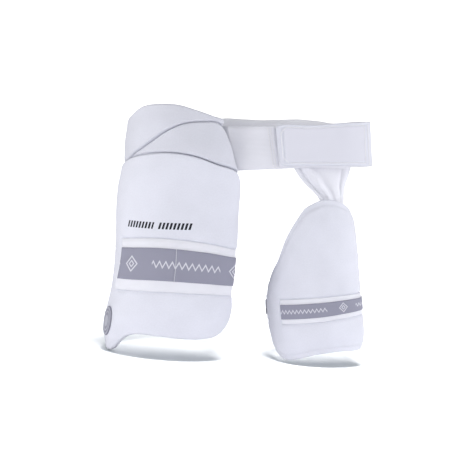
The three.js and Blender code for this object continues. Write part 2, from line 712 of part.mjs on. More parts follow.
// The waist's loop at a share of the belt's width above its middle, as one smooth line that passes inside the hip
// pads and is a little wider lower down.
function waistLine(share) {
  const sewn = (angles, rise) =>
    angles.map((angle) =>
      outerLeg.point(angle, (rise + share) * BELT_WIDTH, -PAD_GAP - BELT_THICKNESS - BELT_LAYER),
    );
  const free = WAIST_LINE.map((row) => {
    const x = row.side * WAIST_RIGHT * (1 - WAIST_FLARE * share);
    return new THREE.Vector3(x, row.depth * WAIST_HALF_DEPTH, (row.rise + share) * BELT_WIDTH);
  });
  const line = [...sewn(WAIST_FRONT_ANGLES, 0), ...free, ...sewn(WAIST_BACK_ANGLES, WAIST_LINE.at(-1).rise)];
  return new THREE.CatmullRomCurve3(line, false, "centripetal");
}

// How far along the waist's line a place on its front stretch is.
const waistMiddle = waistLine(0);
function alongWaist(x) {
  const rightEnd = WAIST_FRONT_ANGLES.length + WAIST_LINE.findIndex((row) => row.side === 1);
  let low = 0;
  let high = rightEnd / (waistMiddle.points.length - 1);
  for (let i = 0; i < 40; i += 1) {
    const half = (low + high) / 2;
    if (waistMiddle.getPoint(half).x < x) low = half;
    else high = half;
  }
  return low;
}

// The middle surface of a piece of the waist's loop that stands a number of layers outside it. first gives where
// its lower and its upper edge start. Its width and raise may change on the way, and corner rounds its start.
function waistGrid({ first, last, columns, layers, width, raise = [0, 0], corner = 0 }) {
  const length = Math.abs(waistMiddle.getPoint(last).x - waistMiddle.getPoint(first[0]).x);
  return Array.from({ length: columns + 1 }, (_, i) => {
    const share = (i / columns) ** (corner ? 1.6 : 1);
    const left = Math.max(0, corner - share * length);
    const cut = corner - Math.sqrt(corner * corner - left * left);
    const half = lerp(width[0], width[1], share) / 2 - cut;
    return [-1, 1].map((end, k) => {
      const line = waistLine((lerp(raise[0], raise[1], share) + end * half) / BELT_WIDTH);
      const t = lerp(first[k], last, share);
      const along = line.getTangent(t);
      const outward = new THREE.Vector3(along.y, -along.x, 0).normalize();
      return line.getPoint(t).addScaledVector(outward, layers * BELT_LAYER);
    });
  });
}

// The hanger: a sheet between the belt's inside and the inner pad's inside, gathered towards the bottom.
function hangerGrid() {
  const left = curve(HANGER_ROWS, "down", "left");
  const right = curve(HANGER_ROWS, "down", "right");
  const pull = curve(HANGER_ROWS, "down", "pull");
  const foldAt = (across, down) =>
    HANGER_FOLDS.reduce((sum, fold) => {
      const away = (across - lerp(fold.top, fold.bottom, down)) / fold.spread;
      return sum + fold.height * Math.exp(-away * away);
    }, 0);
  return steps(0, 1, 1 / HANGER_COLUMNS).map((across) =>
    steps(1, 0, 1 / HANGER_LEVELS).map((down) => {
      const x = HANGER_CENTRE_X + HANGER_TOP_WIDTH * lerp(left(down), right(down), across);
      const z = HANGER_TOP - down * HANGER_HEIGHT;
      const loose = HANGER_FOLD * smoothstep(down, 0, 0.3);
      const behind = LAYER_GAP + HANGER_THICKNESS / 2 + loose;
      const beltY = waistMiddle.getPoint(alongWaist(x)).y + BELT_THICKNESS / 2 + behind;
      const padY = innerLegFront(x, z) + behind;
      return new THREE.Vector3(x, lerp(beltY, padY, pull(down)) - loose * foldAt(across, down), z);
    }),
  );
}

// How far back the inner leg's front is at a place.
function innerLegFront(x, z) {
  let low = -89;
  let high = 89;
  for (let i = 0; i < 40; i += 1) {
    const half = (low + high) / 2;
    if (innerLeg.point(half, z, 0).x < x) low = half;
    else high = half;
  }
  return innerLeg.point(low, z, 0).y;
}

const WHITE_CLOTH = { color: 0xe6e7f0, roughness: 0.75, metalness: 0 };
const WHITE_WEBBING = { color: 0xececf3, roughness: 0.85, metalness: 0 };
const GREY_TAPE = { color: 0x8f8fa3, roughness: 0.7, metalness: 0 };

const guard = new THREE.Group();
function add(name, geometry, finish) {
  const mesh = new THREE.Mesh(geometry, new THREE.MeshStandardMaterial(finish));
  mesh.name = name;
  guard.add(mesh);
}

add("thigh_pad", padGeometry(thighPad, FACE_STEP, INSIDE_STEP), WHITE_CLOTH);
add("hip_pad", padGeometry(hipPad, HIP_FACE_STEP, INSIDE_STEP), WHITE_CLOTH);
add("hip_cap", padGeometry(hipCap, HIP_FACE_STEP, INSIDE_STEP), WHITE_CLOTH);
add("inner_pad", padGeometry(innerPad, FACE_STEP, INSIDE_STEP), WHITE_CLOTH);
add("thigh_badge", badgeGeometry(thighPad, BADGE_ANGLE, -BADGE_DROP), GREY_TAPE);

const joint = rolled(BAND_JOINT_GAP / 2);
const thighBand = (first, last) =>
  bandGeometry(thighPad, onThigh, first, last, THIGH_BAND_WIDTH, THIGH_BAND_RAISE);
add("thigh_strap", strapGeometry(thighPad, onThigh, THIGH_STRAP_WIDTH), WHITE_WEBBING);
const thighEnds = [thighPad.strap.first + BAND_END_INSET, thighPad.strap.last - BAND_END_INSET];
add("thigh_band_front", thighBand(thighEnds[0], THIGH_BAND_JOINT - joint), GREY_TAPE);
add("thigh_band_back", thighBand(THIGH_BAND_JOINT + joint, thighEnds[1]), GREY_TAPE);

add("inner_strap", strapGeometry(innerPad, onInner, INNER_STRAP_WIDTH), WHITE_WEBBING);
const innerEnds = [innerPad.strap.first + BAND_END_INSET, innerPad.strap.last - BAND_END_INSET];
add("inner_band", bandGeometry(innerPad, onInner, ...innerEnds, INNER_BAND_WIDTH, 0), GREY_TAPE);

const beltFront = waistGrid({
  first: [0, 0],
  last: alongWaist(BELT_FRONT_END),
  columns: 20,
  layers: 0,
  width: [BELT_FRONT_START_WIDTH, BELT_FRONT_END_WIDTH],
  raise: [-BELT_FRONT_START_DROP, 1],
});
const waistBelt = waistGrid({
  first: [alongWaist(WAIST_BELT_START), alongWaist(WAIST_BELT_START)],
  last: 1,
  columns: 50,
  layers: 1,
  width: [BELT_WIDTH, BELT_WIDTH],
});
const tabBacking = waistGrid({
  first: [alongWaist(TAB_LEFT + TAB_BACKING_INSET), alongWaist(TAB_LEFT + TAB_BACKING_INSET)],
  last: alongWaist(WAIST_BELT_START - LAYER_GAP),
  columns: 14,
  layers: 1,
  width: [TAB_LEFT_WIDTH, TAB_LEFT_WIDTH],
  raise: [TAB_LEFT_RAISE, TAB_LEFT_RAISE - TAB_BACKING_DROP],
  corner: TAB_CORNER,
});
const tabFace = waistGrid({
  first: [alongWaist(TAB_LEFT + TAB_SLANT / 2), alongWaist(TAB_LEFT - TAB_SLANT / 2)],
  last: alongWaist(TAB_RIGHT),
  columns: 22,
  layers: 2,
  width: [TAB_LEFT_WIDTH, TAB_RIGHT_WIDTH],
  raise: [TAB_LEFT_RAISE, TAB_RIGHT_RAISE],
  corner: TAB_CORNER,
});
add("belt_front", sheetGeometry(beltFront, BELT_THICKNESS), WHITE_WEBBING);
add("waist_belt", sheetGeometry(waistBelt, BELT_THICKNESS), WHITE_WEBBING);
add("tab_backing", sheetGeometry(tabBacking, BELT_THICKNESS), WHITE_WEBBING);
add("tab_face", sheetGeometry(tabFace, BELT_THICKNESS), WHITE_CLOTH);
add("hanger", sheetGeometry(hangerGrid(), HANGER_THICKNESS), WHITE_CLOTH);

export default guard;
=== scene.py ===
"""Cricket thigh guard: the cloth, webbing, tape and stitching over the fixed frame.

Lengths inside the functions are millimetres, and become metres where a mesh is made.
"""

import math

import bpy
import numpy as np
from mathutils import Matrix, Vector, geometry, noise


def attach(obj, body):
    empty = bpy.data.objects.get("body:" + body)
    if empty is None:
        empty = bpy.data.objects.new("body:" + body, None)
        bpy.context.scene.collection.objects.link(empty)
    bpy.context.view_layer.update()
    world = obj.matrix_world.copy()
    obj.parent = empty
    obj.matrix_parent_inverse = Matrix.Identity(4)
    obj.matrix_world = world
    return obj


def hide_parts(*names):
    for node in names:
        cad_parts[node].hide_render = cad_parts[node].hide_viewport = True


bl_info = {
    "name": "Cricket thigh guard",
    "version": (1, 0, 0),
    "blender": (4, 5, 0),
    "location": "View3D > Sidebar > Thigh guard",
    "description": "Builds the pads, belt, straps and stitching of a cricket thigh guard",
    "category": "Add Mesh",
}

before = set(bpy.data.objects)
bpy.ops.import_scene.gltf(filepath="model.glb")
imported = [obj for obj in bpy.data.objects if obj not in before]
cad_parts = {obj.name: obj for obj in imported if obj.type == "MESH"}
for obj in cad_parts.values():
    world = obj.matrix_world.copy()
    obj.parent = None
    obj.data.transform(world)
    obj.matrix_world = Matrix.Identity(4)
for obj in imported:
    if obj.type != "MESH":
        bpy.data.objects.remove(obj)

MM = 0.001
UNROLLED_RADIUS = 100.0  # a pad's outline is drawn flat, this many millimetres to a radian round the leg
LAYER_GAP = 0.5
PAD_GAP = 1.2
OUTLINE_SPACING = 3  # between the points along a pad's outline
PAD_FIELD, HIP_FIELD = 3.0, 2.4  # between the points over the faces of the large pads and of the hip pads

OUTER_LEG = {"top": 75, "length": 390, "half_width": 91, "half_depth": 76, "x": -94, "y": 30}
INNER_LEG = {"top": -75, "length": 260, "half_width": 68, "half_depth": 62, "x": 108, "y": 28}

# Sections of the legs, from the top down: drop, how far the middle moves left, and shares of width and depth.
LEG_COLUMNS = ("drop", "side", "width", "depth")
OUTER_LEG_SECTIONS = [
    (0, -0.11, 1.03, 1.02),
    (0.1, -0.11, 1.05, 1.05),
    (0.19, -0.11, 1.055, 1.05),
    (0.28, -0.07, 1.035, 1.04),
    (0.43, 0, 1.005, 1.01),
    (0.58, 0.005, 1, 1),
    (0.67, 0.03, 1, 1),
    (0.765, 0.085, 1.005, 1),
    (0.86, 0.163, 1.02, 1.01),
    (1, 0.215, 1.04, 1.01),
]
INNER_LEG_SECTIONS = [
    (0, 0.22, 0.94, 0.95),
    (0.3, 0.11, 0.98, 0.98),
    (0.6, 0.01, 1, 1),
    (0.8, -0.06, 1, 1),
    (1, -0.1, 1, 1),
]

# Outlines of the pads: degrees round the leg from its front, and drop as a share of the pad's height.
THIGH_PAD_OUTLINE = [
    (-100, 0.115), (-76, 0.066), (-50, 0.027), (-20, 0.009), (2, 0.026), (22, 0.067), (41.5, 0.104),
    (46.5, 0.138), (49.5, 0.19), (50.5, 0.27), (49.7, 0.38), (48.3, 0.465), (47, 0.52), (46.5, 0.62),
    (47, 0.7), (49, 0.745), (50.5, 0.785), (49.5, 0.835), (45, 0.88), (36, 0.915), (22, 0.925), (6, 0.92),
    (-16, 0.907),
    (-36, 0.905), (-46, 0.923), (-53.5, 0.952), (-60, 0.984), (-67, 1.003), (-78, 1.008), (-89, 0.998),
    (-98, 0.955), (-105, 0.86), (-108.5, 0.74), (-109, 0.5), (-108, 0.2),
]
HIP_PAD_OUTLINE = [
    (-60, 0.575), (-46, 0.435), (-36, 0.32), (-20, 0.13), (-5, 0.02), (10, 0), (21, 0.01), (27, 0.1),
    (33, 0.35), (39.5, 0.65), (45, 0.88), (32, 0.97), (5, 0.94), (-30, 0.86), (-56, 0.89), (-70, 0.75),
]
HIP_CAP_OUTLINE = [
    (-97, 0.38), (-84, 0.255), (-68, 0.168), (-50, 0.058), (-30, 0.02), (-12, 0.034), (4, 0.105), (19, 0.185),
    (28, 0.24), (25, 0.36), (0, 0.49), (-22, 0.61), (-42, 0.79), (-60, 0.93), (-82, 1), (-98, 0.93),
    (-103, 0.66),
]
INNER_PAD_OUTLINE = [
    (4, 0.02), (16, 0), (30, 0), (46, 0.02), (63, 0.06), (71.5, 0.12), (72.5, 0.3), (70, 0.6), (69, 0.87),
    (62, 0.93), (45, 0.94), (22, 0.935), (-4, 0.95), (-28, 0.98), (-46, 1), (-64, 0.985), (-84, 0.93),
    (-97, 0.84), (-100, 0.7), (-92, 0.57), (-70, 0.465), (-52, 0.37), (-36, 0.235), (-20, 0.125), (-7, 0.05),
]

# The way of each strap round its leg: degrees, how far its middle lies below its highest place, how far it
# stands off the leg where it is clear of the pad, and how wide it is, as shares of its width.
STRAP_COLUMNS = ("angle", "lower", "stand", "wide")
THIGH_STRAP_WAY = [
    (-62, 0.04, 0, 0.98),
    (-20, 0, 0, 1),
    (15, 0.065, 0, 0.95),
    (48, 0.19, -0.05, 0.86),
    (65, 0.2, -0.15, 0.86),
    (90, 0.2, -0.25, 0.88),
    (120, 0.18, -0.19, 0.9),
    (160, 0.15, -0.03, 0.92),
    (210, 0.11, 0.02, 0.94),
    (262, 0.09, 0.05, 0.95),
]
INNER_STRAP_WAY = [
    (-47, 0.17, 0, 1),
    (0, 0, 0, 0.97),
    (30, -0.1, 0, 0.9),
    (65, -0.16, -0.04, 0.84),
    (90, -0.2, -0.06, 0.82),
    (130, -0.15, 0, 0.88),
    (180, -0.03, 0.03, 0.94),
    (230, 0.05, 0.05, 0.97),
    (279, 0.13, 0.1, 1),
]

# The waist's loop: its side and depth as shares of its right end and half depth, and its rise as a share of
# the belt's width. It begins and ends sewn behind the hip pads, at these angles round the outer leg.
WAIST_FRONT_ANGLES = (4, 16, 28, 38)
WAIST_BACK_ANGLES = (-86, -79, -72, -65)
WAIST_LINE = [
    (0, -0.99, 0), (0.3, -1, 0.01), (0.6, -0.99, 0.03), (0.84, -0.84, 0.05), (0.96, -0.42, 0.05),
    (1, 0, 0.06), (0.95, 0.4, 0.08), (0.8, 0.75, 0.06), (0.55, 1, 0.095), (0.25, 1.08, 0.12),
    (-0.1, 1.18, 0.13), (-0.45, 1.5, 0.13), (-0.78, 1.78, 0.11),
]
WAIST_RIGHT = 184
WAIST_HALF_DEPTH = 28
WAIST_FLARE = 0.02
BELT_WIDTH = 65

# How the top edges of the waist belt and the tab rise and sag: the middle, spread and height of each wave.
WAIST_SAG = ((-30, 14, 1.5), (22, 16, -1.2), (78, 20, 1.6), (134, 16, -3.2))
TAB_SAG = ((57, 12, 1), (102, 22, -1.6))

# The hanger, from the top down: its left and right edges, and how far it is drawn from the belt to the inner
# pad, as shares.
HANGER_COLUMNS = ("down", "left", "right", "pull")
HANGER_ROWS = [
    (0, -0.5, 0.5, 0),
    (0.17, -0.5, 0.51, 0.05),
    (0.35, -0.405, 0.48, 0.35),
    (0.5, -0.285, 0.43, 0.6),
    (0.65, -0.135, 0.41, 0.85),
    (0.8, -0.035, 0.405, 1),
    (1, -0.02, 0.39, 1),
]

# Folds of the hanger: where each crosses at the top and bottom, its half breadth and its height, as shares.
HANGER_FOLDS = [
    (0.03, 0.05, 0.05, 0.35),
    (0.1, 0.17, 0.045, -0.7),
    (0.19, 0.46, 0.085, 1.1),
    (0.36, 0.62, 0.08, -0.45),
    (0.62, 0.72, 0.09, 0.2),
    (0.84, 0.84, 0.035, -0.5),
    (0.93, 0.94, 0.05, 0.25),
]
# Where the hanger is, how high its folds stand, how far it lies behind the belt and the pad, and the height
# and place of the seam across it. Its length is metres of jersey from the belt to the inner pad.
HANGER_MIDDLE, HANGER_WIDTH, HANGER_TOP, HANGER_DROP = 113, 86, -16, 82
HANGER_LOOSE, HANGER_BEHIND = 4, 0.8
HANGER_SEAM, HANGER_SEAM_DOWN = 0.9, 0.765
HANGER_LENGTH, JERSEY_THICKNESS = 0.084, 0.9

# Widths of the straps and their tape, and how far the tape ends short of the strap, in degrees round the leg.
# The slant is that of the first end.
THIGH_STRAP_WIDTH, THIGH_STRAP_DROP, THIGH_TAPE_WIDTH, THIGH_TAPE_RISE = 80, 176, 49, 1.5
INNER_STRAP_WIDTH, INNER_STRAP_DROP, INNER_TAPE_WIDTH = 37, 247, 22
TAPE_SHORT, INNER_TAPE_SHORT = 0.6, 0.2
STRAP_SLANT, TAPE_SLANT = 4.5, 3
STRAP_STEP, STRAP_LEVELS = 1.7, 13

# The joint between the two lengths of thigh tape: its place round the leg and half its breadth, and then the
# share of it that its thread takes, the thread's length and how deep it lies.
TAPE_JOINT_ANGLE, TAPE_JOINT_HALF = -7, 0.6
JOINT_THREAD_SHARE, JOINT_THREAD_LENGTH, JOINT_SUNK = 0.4, 48.6, 0.1

# Places along the front of the belt, from left to right. A pair is the bottom and top of a line that leans.
HIP_PAD_BRINK = (-15, -34)
BELT_STITCHES = ((38.5, 29.5), (42.5, 34))
BELT_HEM = (42.5, 34)
TAB_GROOVE = (46.8, 41.8)
TAB_FACE_LEFT, TAB_FACE_RIGHT = (47.5, 42.5), 183
TAB_BACKING_ENDS = (47, 151.5)
WAIST_BELT_START = 152
BELT_FRONT_END = 158
BELT_THICKNESS = 2.4
BELT_LAYER = BELT_THICKNESS + LAYER_GAP
TAB_FACE_LEVELS = 61
TAB_SEAM_END = 114  # how far along the tab its seam ends

# Stitched lines of the tab, as shares of its length and width.
TAB_STITCHES = (
    ((0.2, 0.055), (0.86, 0.055), (0.86, 0.945), (0.2, 0.945), (0.105, 0.8), (0.105, 0.2), (0.2, 0.055)),
    ((0.92, 0.01), (0.92, 0.99)),
)

# The badge: its middle as an angle and a height, half its breadth and height, its lean in degrees, and its
# profile as shares of its outline and of its thickness. The back is a smaller oval.
BADGE_MIDDLE, BADGE_HALF, BADGE_LEAN, BADGE_THICKNESS = (-72, -270), (16.5, 23.5), 11, 1.7
BADGE_PROFILE = [
    (1, 0), (1, 0.35), (0.985, 0.75), (0.96, 0.95), (0.93, 1), (0.87, 1), (0.845, 0.9), (0.83, 0.62),
    (0.81, 0.55), (0.7, 0.55), (0.68, 0.62), (0.66, 0.78), (0.64, 0.8), (0.61, 0.78), (0.59, 0.62),
    (0.57, 0.55), (0.4, 0.56), (0.38, 0.62), (0.36, 0.76), (0.33, 0.8), (0.2, 0.82), (0.08, 0.83),
]
BADGE_BACK = (0.5, 0)
BADGE_RINGS = ((0.985, 0.06), (0.76, 0.08), (0.49, 0.09))

# Finishes, in metres on the cloth.
PAD_KNIT, TAB_KNIT, JERSEY_KNIT = ({"Loop size": size} for size in (0.0011, 0.0007, 0.0008))
WEBBING_WEAVE = {"Rib pitch": 0.0019, "Thread pitch": 0.0011}
TAPE_WEAVE = {"Rib pitch": 0.0012, "Thread pitch": 0.0007}
THIGH_MOTIF = {
    "Pitch": 0.169, "First lozenge": 0.029, "Lozenge half width": 0.0125, "Lozenge half height": 0.0132,
    "Run middle": 0.089, "Run half length": 0.052, "Tooth height": 0.0048, "Tooth length": 0.0098,
    "Stroke": 0.0019,
}
INNER_MOTIF = {
    "Pitch": 0.131, "First lozenge": 0.099, "Lozenge half width": 0.0075, "Lozenge half height": 0.0085,
    "Run middle": 0.06405, "Run half length": 0.04145, "Tooth height": 0.0027, "Tooth length": 0.006,
    "Stroke": 0.0012,
}
TAB_PANEL_REACH, TAB_PANEL_HALF, TAB_PANEL_CORNER = (0.0072, 0.1085), 0.0262, 0.006
BARS_GROUPS = ((-0.0918, -0.0459), (-0.0378, 0.0108))
BARS_HEIGHT, BARS_HALF, BARS_TILT, BARS_SLANT = -0.1168, 0.005, 0.018, 0.3
BARS_PITCH, BARS_SHARE = 0.0054, 0.6

# The stage, in metres, watts and degrees. A lamp has a name, a place, a size, a power and a colour, and it
# lights the guard or the floor alone.
FLOOR_SIZE, FLOOR_PLACE, FLOOR_TILT = 2.8, (-0.045, 0, -0.3287), 3.5
LAMPS_AIM = (-0.02, 0.02, -0.12)
LAMPS = (
    ("left side", (-2.3, -1.15, -0.1), 1.8, 58, (1, 0.99, 0.97), "guard"),
    ("right side", (2.3, -0.5, 0.1), 2.2, 45, (1, 1, 1), "guard"),
    ("front", (0.9, -2.9, 1.3), 1.6, 12, (1, 1, 1), "guard"),
    ("floor light", (0.18, -0.4, 1.3), 0.6, 49, (1, 1, 1), "floor"),
)
CAMERA_LENS, CAMERA_TILT, CAMERA_DISTANCE, CAMERA_AIM = 107.8, 6, 2.2, (-0.017, 0, -0.1395)


# Sizes and colours that a user can change


def length(name, description, default):
    return bpy.props.FloatProperty(name=name, description=description, default=default, unit="LENGTH")


def colour(name, description, *default):
    return bpy.props.FloatVectorProperty(
        name=name, description=description, default=default, subtype="COLOR", size=3
    )


class GuardSizes(bpy.types.PropertyGroup):
    pad_thickness: length("Thigh pad thickness", "Outer thigh pad, in its middle", 0.015)
    hip_thickness: length("Hip pad thickness", "Hip pad and hip cap, in their middle", 0.012)
    inner_thickness: length("Inner pad thickness", "Inner thigh pad, in its middle", 0.013)
    strap_thickness: length("Strap thickness", "Elastic straps round the thighs", 0.0022)
    tape_thickness: length("Tape thickness", "Grey tape on the straps", 0.001)
    belt_thickness: length("Belt thickness", "Each layer of the waist belt", 0.0024)
    stitch_length: length("Stitch length", "One stitch of the seams", 0.0026)
    thread_radius: length("Thread radius", "Half the thickness of the sewing thread", 0.0008)


class GuardColours(bpy.types.PropertyGroup):
    cloth: colour("Cloth", "Knitted cloth of the pads", 0.795, 0.807, 0.892)
    # The pad cloth made darker for the hip pad and cap: painted shade, because the top of the guard gets less
    # light than the thigh pad.
    hip_cloth_painted_shade: colour("Hip cloth with painted shade", "Knitted cloth of the hip pad and cap, painted darker as shade", 0.715, 0.725, 0.80)
    webbing: colour("Webbing", "White elastic", 0.88, 0.885, 0.95)
    # The white elastic made lighter for the belt round the back: painted light, mostly for the belt's inner
    # face at the back, which lies in shade.
    waist_webbing_painted_light: colour("Waist elastic with painted light", "Elastic of the belt round the back, lightened as painted light", 0.94, 0.942, 0.985)
    tab_middle: colour("Tab middle", "Brushed cloth inside the tab's seam", 0.765, 0.77, 0.85)
    tape: colour("Tape", "Grey woven tape", 0.31, 0.312, 0.395)
    tape_mark: colour("Tape motif", "Light woven motif", 0.72, 0.72, 0.78)
    badge: colour("Badge", "Moulded oval badge", 0.47, 0.48, 0.545)
    print_mark: colour("Printed bars", "Dark printed bars", 0.02, 0.02, 0.03)
    thread: colour("Thread", "Sewing thread", 0.97, 0.97, 1.0)


# Forms: the legs, the pads' outlines and the ways of the straps


def curve(rows, columns, column):
    """A smooth function of a table's first column through another, as the frame's solids follow it."""
    x = np.array([row[0] for row in rows], float)
    y = np.array([row[columns.index(column)] for row in rows], float)
    last = len(rows) - 1
    before, after = np.maximum(np.arange(last + 1) - 1, 0), np.minimum(np.arange(last + 1) + 1, last)
    slope = (y[after] - y[before]) / (x[after] - x[before])

    def value(at):
        here = np.clip(np.asarray(at, float), x[0], x[-1])
        i = np.clip(np.searchsorted(x, here) - 1, 0, last - 1)
        h = x[i + 1] - x[i]
        t = (here - x[i]) / h
        rise = y[i + 1] - y[i]
        bend = (1 - t) * (slope[i] * h - rise) + t * (rise - slope[i + 1] * h)
        return y[i] + rise * t + t * (1 - t) * bend

    return value


def smoothstep(x, low, high):
    t = np.clip((np.asarray(x, float) - low) / (high - low), 0, 1)
    return t * t * (3 - 2 * t)


def unrolled(angle):
    return np.radians(angle) * UNROLLED_RADIUS


def rolled(u):
    return np.degrees(np.asarray(u, float) / UNROLLED_RADIUS)


class Leg:
    """A stack of ellipses. point gives places at angles and heights, standing off the leg by a distance."""

    def __init__(self, sizes, sections):
        self.sizes = sizes
        self.side, self.width, self.depth = (
            curve(sections, LEG_COLUMNS, column) for column in ("side", "width", "depth")
        )

    def point(self, angle, z, stand):
        s = self.sizes
        drop = (s["top"] - np.asarray(z, float)) / s["length"]
        a, b = s["half_width"] * self.width(drop), s["half_depth"] * self.depth(drop)
        sine, cosine = np.sin(np.radians(angle)), np.cos(np.radians(angle))
        nx, ny = b * sine, -a * cosine
        size = np.hypot(nx, ny)
        x = s["x"] - self.side(drop) * s["half_width"] + a * sine + nx / size * stand
        y = s["y"] - b * cosine + ny / size * stand
        return np.stack(np.broadcast_arrays(x, y, z), -1)

    def front(self, x, z):
        """How deep the front of the leg lies at places as they are seen from the front."""
        s = self.sizes
        drop = (s["top"] - z) / s["length"]
        sine = (x - s["x"] + self.side(drop) * s["half_width"]) / (s["half_width"] * self.width(drop))
        return s["y"] - s["half_depth"] * self.depth(drop) * np.sqrt(1 - np.clip(sine, -1, 1) ** 2)


def spline(corners, closed, steps=24):
    """A centripetal curve through corners, as dense points."""
    corners = np.asarray(corners, float)
    n = len(corners)
    spans = n if closed else n - 1
    found = []
    for i in range(spans):
        if closed:
            p = [corners[(i + k - 1) % n] for k in range(4)]
        else:
            p = [corners[min(max(i + k - 1, 0), n - 1)] for k in range(4)]
            if i == 0:
                p[0] = 2 * corners[0] - corners[1]
            if i == n - 2:
                p[3] = 2 * corners[-1] - corners[-2]
        d = [max(np.sum((p[k + 1] - p[k]) ** 2) ** 0.25, 1e-4) for k in range(3)]
        t1 = ((p[1] - p[0]) / d[0] - (p[2] - p[0]) / (d[0] + d[1]) + (p[2] - p[1]) / d[1]) * d[1]
        t2 = ((p[2] - p[1]) / d[1] - (p[3] - p[1]) / (d[1] + d[2]) + (p[3] - p[2]) / d[2]) * d[1]
        t = np.linspace(0, 1, steps, endpoint=False)[:, None]
        found.append(
            p[1] + t1 * t + (3 * (p[2] - p[1]) - 2 * t1 - t2) * t**2 + (2 * (p[1] - p[2]) + t1 + t2) * t**3
        )
    if not closed:
        found.append(corners[-1:])
    return np.concatenate(found)


def along_line(line):
    """How far along a line each of its points is."""
    return np.concatenate([[0], np.cumsum(np.linalg.norm(np.diff(line, axis=0), axis=1))])


def even_points(line, spacing, closed):
    """The points of a line, evenly spaced."""
    if closed:
        line = np.concatenate([line, line[:1]])
    along = along_line(line)
    count = max(2, round(along[-1] / spacing))
    at = np.linspace(0, along[-1], count + 1)
    points = np.stack([np.interp(at, along, line[:, k]) for k in range(line.shape[1])], -1)
    return points[:-1] if closed else points


def outline_loop(rows, top, height):
    """A pad's outline, drawn flat, as an even loop of points that turns left."""
    corners = [(unrolled(angle), top - drop * height) for angle, drop in rows]
    loop = even_points(spline(corners, True), OUTLINE_SPACING, True)
    x, y = loop.T
    area = np.sum(x * np.roll(y, -1) - np.roll(x, -1) * y)
    return loop[::-1] if area < 0 else loop


def inset_loop(loop, distance):
    """A loop moved inwards."""
    along = np.roll(loop, -1, 0) - np.roll(loop, 1, 0)
    along /= np.linalg.norm(along, axis=1)[:, None]
    return loop + np.stack([-along[:, 1], along[:, 0]], -1) * distance


def depth_inside(loop, points, free=None):
    """Distance from flat points to a loop or to its free stretches, above 0 inside it and below 0 outside."""
    a, b = loop, np.roll(loop, -1, 0)
    d = b - a
    free = np.ones(len(loop), bool) if free is None else free
    found = []
    for part in np.array_split(points, max(1, len(points) // 3000)):
        rel = part[:, None, :] - a[None]
        t = np.clip((rel * d).sum(-1) / (d * d).sum(-1), 0, 1)
        near = np.sqrt(((rel - t[..., None] * d) ** 2).sum(-1))[:, free].min(1)
        py = part[:, 1][:, None]
        crosses = (a[:, 1] > py) != (b[:, 1] > py)
        safe = np.where(np.abs(d[:, 1]) < 1e-12, 1e-12, d[:, 1])
        left = part[:, 0][:, None] < a[:, 0] + (py - a[:, 1]) / safe * d[:, 0]
        inside = (crosses & left).sum(1) % 2 == 1
        found.append(np.where(inside, near, -near))
    return np.concatenate(found)


class StrapWay:
    """A strap's way round its leg, and how far a flat point is outside the stretch that presses into the pad.
    The strap leaves the pad and comes back to it at the angles of edges."""

    def __init__(self, rows, width, drop, edges):
        self.width, self.drop, self.edges = width, drop, edges
        self.first, self.last = rows[0][0], rows[-1][0]
        self.lower, self.off, self.wide = (
            curve(rows, STRAP_COLUMNS, column) for column in ("lower", "stand", "wide")
        )

    def middle(self, angle):
        return -self.drop - self.width * self.lower(angle)

    def half(self, angle):
        return self.width * self.wide(angle) / 2

    def stand(self, angle):
        return self.width * self.off(angle)

    def beyond(self, points):
        angle = rolled(points[:, 0])
        across = np.abs(points[:, 1] - self.middle(angle)) - self.half(angle)
        between = np.minimum(unrolled(self.first - angle), unrolled(angle + 360 - self.last))
        return np.maximum(across, between)


# How the pads are moulded and tucked behind one another, how the straps press into them, and how their edges
# are rounded.
PAD_RISE = 34
HINGE_THICKNESS = 2.5
HINGE_START = 0.7
HINGE_RISE = 4.5
HINGE_LAYER = HINGE_THICKNESS + PAD_GAP
STRAP_PRESS = 2.9
PRESS_RISE = 4
STRAP_GAP = 0.6
RIM_STEP = 2.2
GROOVE_IN = 0.6
EDGE_STEPS = (0.03, 0.13, 0.29, 0.5, 0.75, 1.0)
PAD_RELIEF, RELIEF_LENGTH = 0.35, 34
SHEET_EDGE = 0.35  # how far a sheet's edge bulges, as a share of its thickness
STRAP_LEAVING = 10.5


class Pad:
    """A moulded pad: a flat outline on a leg, with the stand of its inner face, its thickness in the middle
    and at its edge, the pads that cover its tucked border, and the strap that presses into it. The rim says
    how wide it is, how much thinner, and how deep its seam. The top says from where to where the pad grows
    thinner, and how thick it then is at its edge and in its middle."""

    def __init__(self, leg, loop, stand, full, edge, covers=(), strap=None, rim=(3.2, 0.0, 0.4), top=None):
        self.leg, self.loop, self.stand, self.full, self.edge = leg, loop, stand, full, edge
        self.covers, self.strap, self.rim, self.top = covers, strap, rim, top
        self.free = np.ones(len(loop), bool)
        for cover in covers:
            self.free &= depth_inside(cover.loop, loop) < 0

    def thickness(self, points):
        inside = depth_inside(self.loop, points, self.free)
        edge, full = self.edge, self.full
        if self.top:
            low, high, thin_edge, thin_full = self.top
            share = smoothstep(points[:, 1], low, high)
            edge, full = edge + (thin_edge - edge) * share, full + (thin_full - full) * share
        thick = edge + (full - edge) * smoothstep(inside, 0, PAD_RISE)
        width, cut, groove = self.rim
        thick = thick - cut * (1 - smoothstep(inside, width, width + RIM_STEP))
        thick = thick - groove * np.exp(-(((inside - width - GROOVE_IN) / 0.7) ** 2))
        if self.strap:
            thick = thick - STRAP_PRESS * (1 - smoothstep(self.strap.beyond(points), 0, PRESS_RISE))
        for cover in self.covers:
            left = 1 - np.clip((-depth_inside(cover.loop, points) - HINGE_START) / HINGE_RISE, 0, 1)
            thick = HINGE_THICKNESS + (thick - HINGE_THICKNESS) * np.sqrt(np.maximum(0, 1 - left * left))
        return thick

    def outer(self, points):
        return self.stand + self.thickness(points)

    def place(self, points, height):
        return self.leg.point(rolled(points[:, 0]), points[:, 1], self.stand + height)


# Meshes of the pads, the straps and the belt


